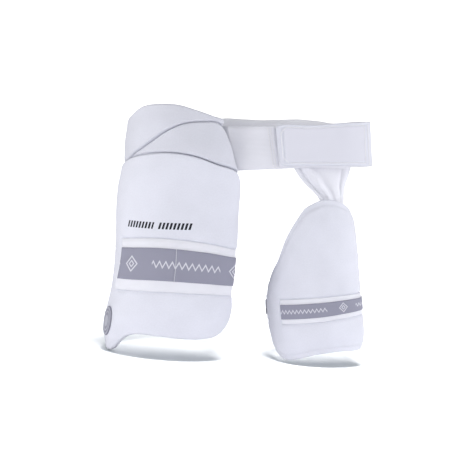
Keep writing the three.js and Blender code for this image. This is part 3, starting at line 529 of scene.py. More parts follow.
def new_object(name, points, faces, flat=None):
    """An object from points in millimetres and faces, with flat places as its cloth coordinates."""
    mesh = bpy.data.meshes.new(name)
    mesh.from_pydata((np.asarray(points, float) * MM).tolist(), [], faces)
    mesh.validate()
    if flat is not None:
        layer = mesh.uv_layers.new(name="cloth")
        index = np.zeros(len(mesh.loops), int)
        mesh.loops.foreach_get("vertex_index", index)
        layer.data.foreach_set("uv", (np.asarray(flat, float)[index] * MM).astype(np.float32).ravel())
    mesh.polygons.foreach_set("use_smooth", [True] * len(mesh.polygons))
    mesh.update()
    piece = bpy.data.objects.new(name, mesh)
    bpy.context.scene.collection.objects.link(piece)
    return piece


def ring_faces(wide, narrow):
    """Faces between two rings of points."""
    n = len(wide)
    return [(wide[i], wide[(i + 1) % n], narrow[(i + 1) % n], narrow[i]) for i in range(n)]


def field(border, guides, spacing):
    """Flat points inside a border, with guides kept where they have room, and their triangles."""
    kept = [border]
    if len(guides):
        guides = guides[depth_inside(border, guides) > spacing * 0.5]
        kept.append(guides)
    low, high = border.min(0), border.max(0)
    rows = []
    for k, y in enumerate(np.arange(low[1], high[1], spacing * math.sqrt(0.75))):
        x = np.arange(low[0] + (k % 2) * spacing / 2, high[0], spacing)
        rows.append(np.stack([x, np.full_like(x, y)], -1))
    grid = np.concatenate(rows)
    grid = grid[depth_inside(border, grid) > spacing * 0.6]
    if len(guides):
        near = np.array([np.min(np.sum((guides - g) ** 2, 1)) for g in grid])
        grid = grid[near > (spacing * 0.6) ** 2]
    kept.append(grid)
    points = np.concatenate(kept)
    loop = [(i, (i + 1) % len(border)) for i in range(len(border))]
    made = geometry.delaunay_2d_cdt([Vector(p) for p in points], loop, [], 1, 1e-5)
    vertices = np.array([tuple(v) for v in made[0]])
    if len(vertices) != len(points):
        raise RuntimeError("the pad's field of points has doubles")
    return points, [tuple(face) for face in made[2]]


def guide_points(pad, spacing):
    """Flat points along the lines where a pad's thickness changes fast."""
    points = []
    for cover in pad.covers:
        for distance in (0.0, HINGE_START, HINGE_START + 1.5, HINGE_START + 3.2, HINGE_START + 5.5):
            points.append(even_points(inset_loop(cover.loop, -distance), spacing, True))
    for distance in (pad.rim[0] - 1.1, pad.rim[0] + GROOVE_IN, pad.rim[0] + RIM_STEP):
        points.append(inset_loop(pad.loop, distance))
    if pad.strap:
        way = pad.strap
        angle = np.arange(way.first, way.first + 180, float(rolled(spacing)))
        for distance in (0.2, PRESS_RISE * 0.5, PRESS_RISE):
            for side in (-1, 1):
                z = way.middle(angle) + side * (way.half(angle) + distance)
                points.append(np.stack([unrolled(angle), z], -1))
    return np.concatenate(points)


def soft_relief(points):
    """A slow unevenness of padded cloth, in millimetres."""
    places = [Vector((*p / RELIEF_LENGTH, 3.1)) for p in points]
    return np.array([noise.fractal(place, 1.0, 2.0, 2) for place in places]) * PAD_RELIEF


def make_pad(name, pad, spacing):
    """A pad's mesh: rings round its edge, then an outer and an inner face."""
    radius = pad.edge / 2
    loop = pad.loop
    points = [pad.place(loop, pad.thickness(loop) / 2)]
    flats = [loop]
    faces = []
    count = len(loop)
    for outer in (True, False):
        rings = [list(range(len(loop)))]

        def put(flat, outer=outer):
            nonlocal count
            thick = pad.thickness(flat)
            rounding = np.minimum(thick / 2, radius)
            left = np.maximum(0, rounding - np.maximum(0, depth_inside(loop, flat)))
            cut = rounding - np.sqrt(np.maximum(0, rounding**2 - left**2))
            height = thick - cut if outer else cut
            if outer:
                calm = smoothstep(depth_inside(loop, flat), radius, radius + 12)
                height = height + calm * soft_relief(flat)
            points.append(pad.place(flat, height))
            flats.append(flat)
            numbers = list(range(count, count + len(flat)))
            count += len(flat)
            return numbers

        for share in EDGE_STEPS:
            rings.append(put(inset_loop(loop, share * radius)))
        border = inset_loop(loop, radius)
        step = spacing if outer else spacing * 2
        guides = guide_points(pad, spacing) if outer else np.zeros((0, 2))
        inner_field, triangles = field(border, guides, step)
        numbers = rings[-1] + put(inner_field[len(border):])
        made = [quad for a, b in zip(rings, rings[1:]) for quad in ring_faces(a, b)]
        made += [tuple(numbers[i] for i in face) for face in triangles]
        faces += made if outer else [face[::-1] for face in made]
    return new_object(name, np.concatenate(points), faces, np.concatenate(flats))


def sheet_frame(grid):
    """The outward directions of a grid of points, columns along a sheet and each from the bottom up."""
    along = np.gradient(grid, axis=0)
    up = np.gradient(grid, axis=1)
    out = np.cross(along, up)
    return out / np.linalg.norm(out, axis=-1)[..., None]


def raised(grid, distance):
    """A sheet's surface moved outwards."""
    return grid + sheet_frame(grid) * distance


def make_sheet(name, grid, thickness, flat):
    """A closed sheet round a grid of its middle surface, with edges that bulge a little."""
    columns, levels = grid.shape[:2]
    out = sheet_frame(grid)
    faces = []
    points = [(grid + out * side * thickness / 2).reshape(-1, 3) for side in (1, -1)]
    flats = [flat.reshape(-1, 2)] * 2

    def number(side, i, j):
        return (side * columns + i) * levels + j

    for i in range(columns - 1):
        for j in range(levels - 1):
            corners = ((i, j), (i + 1, j), (i + 1, j + 1), (i, j + 1))
            faces.append(tuple(number(0, *corner) for corner in corners))
            faces.append(tuple(number(1, *corner) for corner in (corners[0], *corners[:0:-1])))
    rim = (
        [(i, 0) for i in range(columns)]
        + [(columns - 1, j) for j in range(1, levels)]
        + [(i, levels - 1) for i in range(columns - 2, -1, -1)]
        + [(0, j) for j in range(levels - 2, 0, -1)]
    )
    middle = []
    inner = grid.mean(axis=(0, 1))
    for i, j in rim:
        p = grid[i, j]
        toward = np.zeros(3)
        if j == 0:
            toward += grid[i, 0] - grid[i, 1]
        if j == levels - 1:
            toward += grid[i, -1] - grid[i, -2]
        if i == 0:
            toward += grid[0, j] - grid[1, j]
        if i == columns - 1:
            toward += grid[-1, j] - grid[-2, j]
        size = np.linalg.norm(toward)
        middle.append(p + (toward / size if size > 1e-9 else p - inner) * thickness * SHEET_EDGE)
    points.append(np.array(middle))
    flats.append(np.array([flat[i, j] for i, j in rim]))
    base = 2 * columns * levels
    n = len(rim)
    for k in range(n):
        a, b = rim[k], rim[(k + 1) % n]
        m, m2 = base + k, base + (k + 1) % n
        faces.append((number(0, *a), m, m2, number(0, *b)))
        faces.append((m, number(1, *a), number(1, *b), m2))
    return new_object(name, np.concatenate(points), faces, np.concatenate(flats))


def strap_grid(pad, first, last, width, raise_by, slant=0):
    """The inner surface of a strap or of a stretch of it, on the pad and then round the back of the leg."""
    way = pad.strap
    right_edge, left_edge = way.edges
    angle = np.linspace(first, last, max(3, int((last - first) / STRAP_STEP)))
    share = np.linspace(-0.5, 0.5, STRAP_LEVELS)
    here, across = np.meshgrid(angle, share, indexing="ij")
    here = here + slant * (across - 0.5) * (1 - smoothstep(here, first, first + 20))
    z = way.middle(here) + raise_by + across * width * way.wide(here)
    turn = np.where(here > 180, here - 360, here)
    flat = np.stack([unrolled(turn), z], -1).reshape(-1, 2)
    on_pad = pad.outer(flat).reshape(here.shape) + STRAP_GAP
    away = smoothstep(here, right_edge, right_edge + STRAP_LEAVING)
    back = smoothstep(here, left_edge - STRAP_LEAVING, left_edge)
    clear = away * (1 - back)
    grid = pad.leg.point(here, z, on_pad + (way.stand(here) - on_pad) * clear)
    along = along_line(grid[:, STRAP_LEVELS // 2])
    cloth = np.stack([np.repeat(along[:, None], STRAP_LEVELS, 1), across * width], -1)
    return grid, cloth


def waist_line(share):
    """Corners of the waist's loop at a level: sewn behind the hip pads at its ends, and free between them."""
    stand = -PAD_GAP - BELT_THICKNESS - BELT_LAYER
    right = WAIST_RIGHT * (1 - WAIST_FLARE * share)
    last_rise = WAIST_LINE[-1][2]
    return np.array(
        [
            *(OUTER.point(angle, share * BELT_WIDTH, stand) for angle in WAIST_FRONT_ANGLES),
            *(
                (side * right, depth * WAIST_HALF_DEPTH, (rise + share) * BELT_WIDTH)
                for side, depth, rise in WAIST_LINE
            ),
            *(OUTER.point(angle, (last_rise + share) * BELT_WIDTH, stand) for angle in WAIST_BACK_ANGLES),
        ]
    )


WAIST_STEPS = 40
WAIST_LEVELS = np.linspace(-0.7, 0.7, 9)


def waist_at(level, t):
    """Places on the waist's loop at levels, as shares of the belt, and at shares t of its corners."""
    lines = np.array([spline(waist_line(share), False, WAIST_STEPS) for share in WAIST_LEVELS])
    level, t = np.broadcast_arrays(np.asarray(level, float), np.asarray(t, float))
    row = (level - WAIST_LEVELS[0]) / (WAIST_LEVELS[-1] - WAIST_LEVELS[0]) * (len(WAIST_LEVELS) - 1)
    k = np.clip(row.astype(int), 0, len(WAIST_LEVELS) - 2)
    g = (row - k)[..., None]
    at = t * (lines.shape[1] - 1)
    i = np.clip(at.astype(int), 0, lines.shape[1] - 2)
    f = (at - i)[..., None]

    def on(step):
        n = np.clip(i + step, 0, lines.shape[1] - 1)
        return lines[k, n] * (1 - g) + lines[k + 1, n] * g

    return on(0) * (1 - f) + on(1) * f, on(2) - on(-1)


def along_waist(x):
    """How far along the waist's line a place on its front stretch is."""
    right_corner = len(WAIST_FRONT_ANGLES) + [side for side, _, _ in WAIST_LINE].index(1)
    right_end = right_corner / (len(waist_line(0)) - 1)
    t = np.linspace(0, right_end, 4000)
    return float(np.interp(x, waist_at(0, t)[0][:, 0], t))


def waist_grid(first, last, columns, layers, width, raise_by=(0, 0), corner=0, levels=11, lift=None):
    """The middle surface of a piece of the waist's loop, standing a number of layers outside it. The first
    end leans between two places, and may have round corners; width and raise_by are given for both ends."""
    length = abs(waist_at(0, last)[0][0] - waist_at(0, first[0])[0][0])
    share = np.linspace(0, 1, columns)[:, None] ** (1.6 if corner else 1)
    up = np.linspace(-1, 1, levels)[None]
    left = np.maximum(0, corner - share * length)
    cut = corner - np.sqrt(np.maximum(0, corner**2 - left**2))
    half = (width[0] + (width[1] - width[0]) * share) / 2 - cut
    raising = raise_by[0] + (raise_by[1] - raise_by[0]) * share
    start = first[0] + (first[1] - first[0]) * (up + 1) / 2
    place, along = waist_at((raising + up * half) / BELT_WIDTH, start + (last - start) * share)
    out = np.stack([along[..., 1], -along[..., 0], np.zeros(along.shape[:2])], -1)
    out /= np.linalg.norm(out, axis=-1)[..., None]
    stand = layers * BELT_LAYER + (lift(share * length, up * half, half) if lift else 0)
    grid = place + out * (stand + np.zeros(along.shape[:2]))[..., None]
    cloth = np.stack([share * length + 0 * up, up * half], -1)
    return grid, cloth


def belt_front_lift(end):
    """How the front of the belt stands off its way: it sinks under the hip pad and rises just past it, steps
    up past its hem, and has a groove beside the tab. end is where it ends, as a share of the waist's line."""
    start_x, end_x = (waist_at(0, t)[0][0] for t in (0, end))
    lines = [
        [along_waist(x) / end * (end_x - start_x) for x in pair]
        for pair in (HIP_PAD_BRINK, BELT_HEM, TAB_GROOVE)
    ]

    def lift(along, up, half):
        high = (up / half + 1) / 2
        past_pad, past_hem, past_groove = (along - low - (top - low) * high for low, top in lines)
        under = 10 * (1 - smoothstep(past_pad, -13, 3.5)) + 0.9 * (1 - smoothstep(past_hem, -0.6, 0.6))
        return 3 * (1 - smoothstep(past_pad, 4, 40)) - under - 1.5 * np.exp(-(past_groove**2))

    return lift


def tab_border(along, up, half):
    """How the face of the tab stands off its way: it curls up at its free end, and its seam is sunk."""
    inside = np.minimum(np.minimum(along, TAB_SEAM_END - along) - 1, half - np.abs(up))
    return 1.3 * np.exp(-along / 5) - 0.9 * np.exp(-(((inside - 4.4) / 1.1) ** 2))


def sag(grid, waves, share=1):
    """Lets the top edge of a sheet rise and fall by waves along it."""
    top = np.linspace(0, 1, grid.shape[1])[None] ** 2 * share
    for middle, spread, height in waves:
        grid[..., 2] += top * height * np.exp(-(((grid[..., 0] - middle) / spread) ** 2))


def belt_depth():
    """Places of the front of the belt, as how far to the right and how deep they lie."""
    place = waist_at(0, np.linspace(0, along_waist(180), 120))[0]
    return place[:, 0], place[:, 1]


OUTER = Leg(OUTER_LEG, OUTER_LEG_SECTIONS)
INNER = Leg(INNER_LEG, INNER_LEG_SECTIONS)
THIGH_WAY = StrapWay(THIGH_STRAP_WAY, THIGH_STRAP_WIDTH, THIGH_STRAP_DROP, (43.5, 252))
INNER_WAY = StrapWay(INNER_STRAP_WAY, INNER_STRAP_WIDTH, INNER_STRAP_DROP, (62, 261))


def thigh_pad_form(sizes):
    loop = outline_loop(THIGH_PAD_OUTLINE, -4, 310)
    thickness, top = sizes.pad_thickness / MM, (-170, -45, 8, 12)
    return Pad(OUTER, loop, 2 * HINGE_LAYER, thickness, 10, strap=THIGH_WAY, top=top)


def hip_pad_form(sizes):
    loop = outline_loop(HIP_PAD_OUTLINE, 39, 90)
    covers = [thigh_pad_form(sizes)]
    return Pad(OUTER, loop, HINGE_LAYER, sizes.hip_thickness / MM, 8, covers=covers, top=(-10, 30, 6, 9))


def hip_cap_form(sizes):
    loop = outline_loop(HIP_CAP_OUTLINE, 69, 112)
    covers = [thigh_pad_form(sizes), hip_pad_form(sizes)]
    return Pad(OUTER, loop, 0, sizes.hip_thickness / MM, 8, covers=covers)


def inner_pad_form(sizes):
    loop = outline_loop(INNER_PAD_OUTLINE, -80, 250)
    return Pad(INNER, loop, 0, sizes.inner_thickness / MM, 7, strap=INNER_WAY, rim=(7, 2.2, 0.8))


# Stitching

STITCH_GAP = 0.7


def stitch_mesh(name, lines, length, radius):
    """Stitches along lines of (points, outward directions), each a short rounded bar of thread."""
    points, faces = [], []
    sides, profile = 6, ((0, 0.15), (0.14, 0.8), (0.5, 1), (0.86, 0.8), (1, 0.15))
    for line, outward in lines:
        along = along_line(line)
        pitch = length + STITCH_GAP
        for k in range(int(along[-1] // pitch)):
            at = np.array([k * pitch + 0.3 + share * length for share, _ in profile])
            middle = np.stack([np.interp(at, along, line[:, c]) for c in range(3)], -1)
            out = np.stack([np.interp(at, along, outward[:, c]) for c in range(3)], -1)
            out /= np.linalg.norm(out, axis=1)[:, None]
            way = middle[-1] - middle[0]
            way /= np.linalg.norm(way)
            side = np.cross(way, out)
            base = len(points)
            for (share, size), m, o, s in zip(profile, middle, out, side):
                m = m + o * radius * (0.55 * math.sin(math.pi * share) + 0.1)
                for q in range(sides):
                    a = 2 * math.pi * q / sides
                    points.append(m + (s * math.cos(a) + o * math.sin(a)) * radius * size)
            for r in range(len(profile) - 1):
                for q in range(sides):
                    a, b = base + r * sides + q, base + r * sides + (q + 1) % sides
                    faces.append((a, b, b + sides, a + sides))
            faces.append(tuple(base + q for q in range(sides))[::-1])
            faces.append(tuple(base + (len(profile) - 1) * sides + q for q in range(sides)))
    return new_object(name, points, faces)


def grid_line(grid, path, distance):
    """A line over a sheet's face through (column share, level share) corners, raised by a distance."""
    columns, levels = grid.shape[:2]
    out = sheet_frame(grid)
    found, directions = [], []
    for (c0, l0), (c1, l1) in zip(path, path[1:]):
        for t in np.linspace(0, 1, 40):
            c, l = (c0 + (c1 - c0) * t) * (columns - 1), (l0 + (l1 - l0) * t) * (levels - 1)
            i, j = min(int(c), columns - 2), min(int(l), levels - 2)
            weights = np.outer((1 - c + i, c - i), (1 - l + j, l - j))[..., None]
            p, n = ((sheet[i : i + 2, j : j + 2] * weights).sum((0, 1)) for sheet in (grid, out))
            found.append(p + n / np.linalg.norm(n) * distance)
            directions.append(n)
    return np.array(found), np.array(directions)


# Materials


def node(tree, kind, **settings):
    """A new node. A setting that starts with in_ is one of its inputs, and any other is its own value."""
    made = tree.nodes.new(kind)
    for key, value in settings.items():
        if key.startswith("in_"):
            made.inputs[key[3:].replace("_", " ")].default_value = value
        else:
            setattr(made, key, value)
    return made


def feed(tree, value, into):
    """Gives an input a fixed value, or what another node puts out."""
    if isinstance(value, bpy.types.NodeSocket):
        tree.links.new(value, into)
    else:
        into.default_value = value


def maths(tree):
    """A function that adds a math node to the tree and gives what it puts out."""

    def add(operation, *values):
        made = node(tree, "ShaderNodeMath", operation=operation)
        for value, into in zip(values, made.inputs):
            feed(tree, value, into)
        return made.outputs[0]

    return add


def cloth_place(tree):
    """The flat place on the cloth, in metres: as a vector, along the piece and across it."""
    place, split = node(tree, "ShaderNodeUVMap", uv_map="cloth"), node(tree, "ShaderNodeSeparateXYZ")
    tree.links.new(place.outputs[0], split.inputs[0])
    return place.outputs[0], split.outputs[0], split.outputs[1]


def noise_at(tree, place, scale, detail, roughness=0.5):
    """Cloudy noise at a place."""
    made = node(tree, "ShaderNodeTexNoise", in_Detail=detail, in_Roughness=roughness)
    feed(tree, place, made.inputs["Vector"])
    feed(tree, scale, made.inputs["Scale"])
    return made.outputs[0]


def ranged(tree, value, low, high, to_low, to_high):
    """A value carried from one range to another, and kept within it."""
    made = node(tree, "ShaderNodeMapRange")
    for given, into in zip((value, low, high, to_low, to_high), made.inputs):
        feed(tree, given, into)
    return made.outputs[0]


def mixed(tree, factor, a, b):
    made = node(tree, "ShaderNodeMix", data_type="RGBA")
    for key, value in ((0, factor), (6, a), (7, b)):
        feed(tree, value, made.inputs[key])
    return made.outputs[2]


def dark(colour, share=1.0):
    """A colour made darker, as the four numbers that a socket takes."""
    return tuple(c * share for c in colour) + (1.0,)


def group_start(name, inputs, outputs):
    """A node group with its named inputs, their values and its named outputs, and its two ends' sockets."""
    tree = bpy.data.node_groups.new(name, "ShaderNodeTree")
    for key, value in inputs.items():
        made = tree.interface.new_socket(name=key, in_out="INPUT", socket_type="NodeSocketFloat")
        made.default_value = value
    for key in outputs:
        tree.interface.new_socket(name=key, in_out="OUTPUT", socket_type="NodeSocketFloat")
    return tree, node(tree, "NodeGroupInput").outputs, node(tree, "NodeGroupOutput").inputs


def knit_group():
    """Knitted cloth: a height of small loops in rows and columns, and a slow change of shade."""
    tree, given, wanted = group_start("Knit", {"Loop size": 0.0011}, ("Height", "Shade"))
    m = maths(tree)
    place, along, across = cloth_place(tree)
    column = m("ABSOLUTE", m("SINE", m("MULTIPLY", m("DIVIDE", along, given["Loop size"]), math.pi)))
    lean = m("MULTIPLY", m("SUBTRACT", 0.5, column), 0.9)
    row = m("SINE", m("MULTIPLY", m("ADD", m("DIVIDE", across, given["Loop size"]), lean), 2 * math.pi))
    tree.links.new(m("ADD", m("MULTIPLY", column, 0.6), m("MULTIPLY", row, 0.25)), wanted["Height"])
    cloud, fine = noise_at(tree, place, 14, 3, 0.55), noise_at(tree, place, 420, 2)
    tree.links.new(m("ADD", m("MULTIPLY", cloud, 0.65), m("MULTIPLY", fine, 0.35)), wanted["Shade"])
    return tree


def rib_group():
    """Woven elastic or tape: ribs across its width with fine threads along it."""
    pitches = {"Rib pitch": 0.0016, "Thread pitch": 0.0009}
    tree, given, wanted = group_start("Rib weave", pitches, ("Height", "Shade"))
    m = maths(tree)
    place, along, across = cloth_place(tree)
    ribs = m("DIVIDE", across, given["Rib pitch"])
    threads = m("ADD", m("DIVIDE", along, given["Thread pitch"]), m("MULTIPLY", m("FLOOR", ribs), 0.5))
    rib, thread = (m("ABSOLUTE", m("SINE", m("MULTIPLY", count, math.pi))) for count in (ribs, threads))
    height = m("MULTIPLY", m("ADD", rib, 0.35), m("ADD", thread, 0.7))
    tree.links.new(height, wanted["Height"])
    # The shade is a cloudy tone with the weave's height added: painted shade, darker in the low places
    # between the ribs and threads.
    cloud = noise_at(tree, place, 22, 4, 0.6)
    tree.links.new(m("ADD", m("MULTIPLY", cloud, 0.7), m("MULTIPLY", height, 0.22)), wanted["Shade"])
    return tree


def grain_group():
    """The fine grain of moulded rubber and of thread."""
    tree, given, wanted = group_start("Grain", {"Scale": 900}, ("Grain",))
    place = node(tree, "ShaderNodeTexCoord").outputs["Object"]
    tree.links.new(noise_at(tree, place, given["Scale"], 3), wanted["Grain"])
    return tree


def motif_group():
    """The mask of a motif woven into the tape again and again: a lozenge, then a run of zigzag."""
    tree, given, wanted = group_start("Tape motif", THIGH_MOTIF, ("Mask",))
    m = maths(tree)
    _, along, level = cloth_place(tree)
    half_width = given["Lozenge half width"]
    shifted = m("ADD", along, m("SUBTRACT", half_width, given["First lozenge"]))
    x = m("SUBTRACT", m("FLOORED_MODULO", shifted, given["Pitch"]), half_width)
    width, height = m("DIVIDE", m("ABSOLUTE", x), half_width), given["Lozenge half height"]
    size = m("ADD", width, m("DIVIDE", m("ABSOLUTE", level), height))
    lozenge = m("MAXIMUM", m("COMPARE", size, 0.88, 0.11), m("COMPARE", size, 0.36, 0.1))
    tooth = m("ABSOLUTE", m("SUBTRACT", m("FRACT", m("DIVIDE", x, given["Tooth length"])), 0.5))
    wave = m("MULTIPLY", m("SUBTRACT", tooth, 0.25), m("MULTIPLY", given["Tooth height"], 4))
    line = m("COMPARE", level, wave, given["Stroke"])
    run = m("MULTIPLY", line, m("COMPARE", x, given["Run middle"], given["Run half length"]))
    tree.links.new(m("MULTIPLY", m("MAXIMUM", lozenge, run), 0.9), wanted["Mask"])
    return tree


GROUPS = {"Knit": knit_group, "Rib weave": rib_group, "Grain": grain_group, "Tape motif": motif_group}


def placed(tree, name, values):
    """What a node group puts out in a material, with the material's own values. Each group is built once."""
    made = node(tree, "ShaderNodeGroup", node_tree=bpy.data.node_groups.get(name) or GROUPS[name]())
    for key, value in values.items():
        made.inputs[key].default_value = value
    return made.outputs


def tab_panel(tree):
    """The mask of the tab's brushed middle, a round-cornered field inside its seam."""
    m = maths(tree)
    _, along, across = cloth_place(tree)
    low, high = TAB_PANEL_REACH
    x = m("ABSOLUTE", m("SUBTRACT", along, (low + high) / 2))
    x = m("MAXIMUM", m("SUBTRACT", x, (high - low) / 2 - TAB_PANEL_CORNER), 0)
    y = m("MAXIMUM", m("SUBTRACT", m("ABSOLUTE", across), TAB_PANEL_HALF - TAB_PANEL_CORNER), 0)
    away = m("SQRT", m("ADD", m("POWER", x, 2), m("POWER", y, 2)))
    return ranged(tree, away, TAB_PANEL_CORNER - 0.0008, TAB_PANEL_CORNER, 1, 0)


def printed_bars(tree):
    """The mask of two groups of slanted bars in a row, on the outer face of the thigh pad only."""
    m = maths(tree)
    _, along, across = cloth_place(tree)
    above = m("SUBTRACT", m("ADD", across, m("MULTIPLY", along, BARS_TILT)), BARS_HEIGHT)
    lean = m("SUBTRACT", along, m("MULTIPLY", above, BARS_SLANT))
    bar = m("LESS_THAN", m("FRACT", m("DIVIDE", lean, BARS_PITCH)), BARS_SHARE)
    found = [m("COMPARE", lean, (low + high) / 2, (high - low) / 2) for low, high in BARS_GROUPS]
    facing, turned = node(tree, "ShaderNodeNewGeometry"), node(tree, "ShaderNodeSeparateXYZ")
    tree.links.new(facing.outputs["True Normal"], turned.inputs[0])
    shown = m("MULTIPLY", m("MAXIMUM", *found), m("LESS_THAN", turned.outputs[1], 0))
    return m("MULTIPLY", m("MULTIPLY", m("COMPARE", above, 0, BARS_HALF), bar), shown)


def new_material(name, sheen):
    """A material with its shader alone."""
    material = bpy.data.materials.new(name)
    material.use_nodes = True
    tree = material.node_tree
    tree.nodes.clear()
    out, shader = node(tree, "ShaderNodeOutputMaterial"), node(tree, "ShaderNodeBsdfPrincipled")
    tree.links.new(shader.outputs[0], out.inputs[0])
    shader.inputs["Sheen Weight"].default_value = sheen
    return material, tree, shader


def feed_surface(tree, shader, base, rough, height, strength, depth):
    """Feeds a shader its colour, its roughness and the height of its bumps, depth in metres."""
    bumps = node(tree, "ShaderNodeBump", in_Strength=strength, in_Distance=depth)
    tree.links.new(height, bumps.inputs["Height"])
    for key, value in (("Base Color", base), ("Roughness", rough), ("Normal", bumps.outputs[0])):
        tree.links.new(value, shader.inputs[key])


def cloth_material(name, colour, weave, values, roughness=0.8, sheen=0.35, depth=0.0002, mark=None):
    """A cloth finish with its weave or knit as bumps and its shade a little uneven. A mark is a colour and
    the function that makes its mask."""
    if name in bpy.data.materials:
        return bpy.data.materials[name]
    material, tree, shader = new_material(name, sheen)
    shader.inputs["Sheen Roughness"].default_value = 0.45
    shader.inputs["Specular IOR Level"].default_value = 0.25
    cloth = placed(tree, weave, values)
    level = ranged(tree, cloth["Shade"], 0.3, 0.7, 0, 1)
    base = mixed(tree, level, dark(colour, 0.9), dark(colour))
    if mark:
        mark_colour, mask = mark
        base = mixed(tree, mask(tree), base, dark(mark_colour))
    rough = ranged(tree, cloth["Shade"], 0, 1, roughness - 0.06, roughness + 0.06)
    feed_surface(tree, shader, base, rough, cloth["Height"], 0.7, depth)
    return material


def plain_material(name, colour, roughness, sheen=0.0, scale=900):
    """Moulded or threaded stuff with a fine grain."""
    if name in bpy.data.materials:
        return bpy.data.materials[name]
    material, tree, shader = new_material(name, sheen)
    grain = placed(tree, "Grain", {"Scale": scale})["Grain"]
    base = mixed(tree, grain, dark(colour, 0.86), dark(colour))
    rough = ranged(tree, grain, 0, 1, roughness - 0.08, roughness + 0.08)
    feed_surface(tree, shader, base, rough, grain, 0.5, 0.00008)
    return material


def badge_rubber(colours):
    """Light rubber with dark sunk rings. Its cloth coordinate goes from 0 in the middle to 1 at the rim."""
    material = plain_material("badge rubber", colours.badge, 0.5)
    tree = material.node_tree
    m = maths(tree)
    shader = next(n for n in tree.nodes if n.type == "BSDF_PRINCIPLED")
    _, share, _ = cloth_place(tree)
    rim, outer, inner = (m("COMPARE", share, ring, half) for ring, half in BADGE_RINGS)
    sunk = m("MULTIPLY", m("MAXIMUM", m("MAXIMUM", rim, outer), inner), 0.85)
    plain = shader.inputs["Base Color"].links[0].from_socket
    tree.links.new(mixed(tree, sunk, plain, dark(colours.tape, 0.75)), shader.inputs["Base Color"])
    return material


def webbing_stuff(name, colour):
    """White woven elastic."""
    return cloth_material(name, colour, "Rib weave", WEBBING_WEAVE, 0.85, 0.2, 0.00028)


def tape_stuff(name, colours, motif):
    """Grey tape with its motif woven in."""
    mark = (colours.tape_mark, lambda tree: placed(tree, "Tape motif", motif)["Mask"])
    return cloth_material(name, colours.tape, "Rib weave", TAPE_WEAVE, 0.6, 0.1, 0.00012, mark)


def thread_stuff(name, colour):
    """Smooth sewing thread."""
    return plain_material(name, colour, 0.6, 0.3, 2500)


def finish_piece(piece, material, replaces=()):
    """Gives a piece its material, hangs it on the body's root, and hides the solids that it stands in for."""
    piece.data.materials.append(material)
    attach(piece, "root")
    if replaces:
        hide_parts(*replaces)
    return piece


def sheet_piece(name, grid, thickness, cloth, material, solid):
    """A woven sheet that stands in for a solid."""
    return finish_piece(make_sheet(name, grid, thickness, cloth), material, [solid])


# Operators, one for each group of pieces and one for the stage


class GUARD_OT_pads(bpy.types.Operator):
    """Makes the thigh pad, the hip pad, the hip cap and the inner pad"""

    bl_idname = "guard.pads"
    bl_label = "Pads"

    def execute(self, context):
        sizes, colours = context.scene.guard_sizes, context.scene.guard_colours
        mark = (colours.print_mark, printed_bars)
        printed = cloth_material("printed pad cloth", colours.cloth, "Knit", PAD_KNIT, mark=mark)
        plain = cloth_material("pad cloth", colours.cloth, "Knit", PAD_KNIT)
        # The hip pad and cap take a darker copy of the pad cloth: painted shade.
        shaded_hip_cloth = cloth_material("hip cloth", colours.hip_cloth_painted_shade, "Knit", PAD_KNIT)
        pads = (
            ("thigh_pad", thigh_pad_form, PAD_FIELD, printed),
            ("hip_pad", hip_pad_form, HIP_FIELD, shaded_hip_cloth),
            ("hip_cap", hip_cap_form, HIP_FIELD, shaded_hip_cloth),
            ("inner_pad", inner_pad_form, PAD_FIELD, plain),
        )
        for solid, form, spacing, cloth in pads:
            piece = make_pad(solid + "_cloth", form(sizes), spacing)
            finish_piece(piece, cloth, [solid])
        return {"FINISHED"}


class GUARD_OT_straps(bpy.types.Operator):
    """Makes the elastic straps round the thighs with their grey tape"""

    bl_idname = "guard.straps"
    bl_label = "Thigh straps"

    def execute(self, context):
        sizes, colours = context.scene.guard_sizes, context.scene.guard_colours
        webbing = webbing_stuff("elastic", colours.webbing)
        thigh_tape = tape_stuff("thigh tape", colours, THIGH_MOTIF)
        inner_tape = tape_stuff("inner tape", colours, INNER_MOTIF)
        strap, tape = sizes.strap_thickness / MM, sizes.tape_thickness / MM
        over = strap + LAYER_GAP + tape / 2

        pad = thigh_pad_form(sizes)
        first, last = pad.strap.first, pad.strap.last
        grid, cloth = strap_grid(pad, first, last, THIGH_STRAP_WIDTH, 0, STRAP_SLANT)
        sheet_piece("thigh_strap_elastic", raised(grid, strap / 2), strap, cloth, webbing, "thigh_strap")
        joint = float(rolled(TAPE_JOINT_HALF))
        stretches = (
            ("front", first + TAPE_SHORT, TAPE_JOINT_ANGLE - joint, TAPE_SLANT),
            ("back", TAPE_JOINT_ANGLE + joint, last - TAPE_SHORT, 0),
        )
        start = 0
        for side, begin, end, slant in stretches:
            grid, cloth = strap_grid(pad, begin, end, THIGH_TAPE_WIDTH, THIGH_TAPE_RISE, slant)
            cloth[..., 0] += start
            start = cloth[-1, 0, 0] + 2 * TAPE_JOINT_HALF
            sheet = raised(grid, over)
            sheet_piece("thigh_tape_" + side, sheet, tape, cloth, thigh_tape, "thigh_band_" + side)
        begin, end = (TAPE_JOINT_ANGLE + side * joint * JOINT_THREAD_SHARE for side in (-1, 1))
        grid, cloth = strap_grid(pad, begin, end, JOINT_THREAD_LENGTH, THIGH_TAPE_RISE)
        piece = make_sheet("thigh_tape_joint", raised(grid, over - JOINT_SUNK), tape, cloth)
        finish_piece(piece, thread_stuff("joint thread", colours.tape_mark))

        pad = inner_pad_form(sizes)
        first, last = pad.strap.first, pad.strap.last
        grid, cloth = strap_grid(pad, first, last, INNER_STRAP_WIDTH, 0)
        sheet_piece("inner_strap_elastic", raised(grid, strap / 2), strap, cloth, webbing, "inner_strap")
        grid, cloth = strap_grid(pad, first + TAPE_SHORT, last - INNER_TAPE_SHORT, INNER_TAPE_WIDTH, 0)
        sheet_piece("inner_tape", raised(grid, over), tape, cloth, inner_tape, "inner_band")
        return {"FINISHED"}


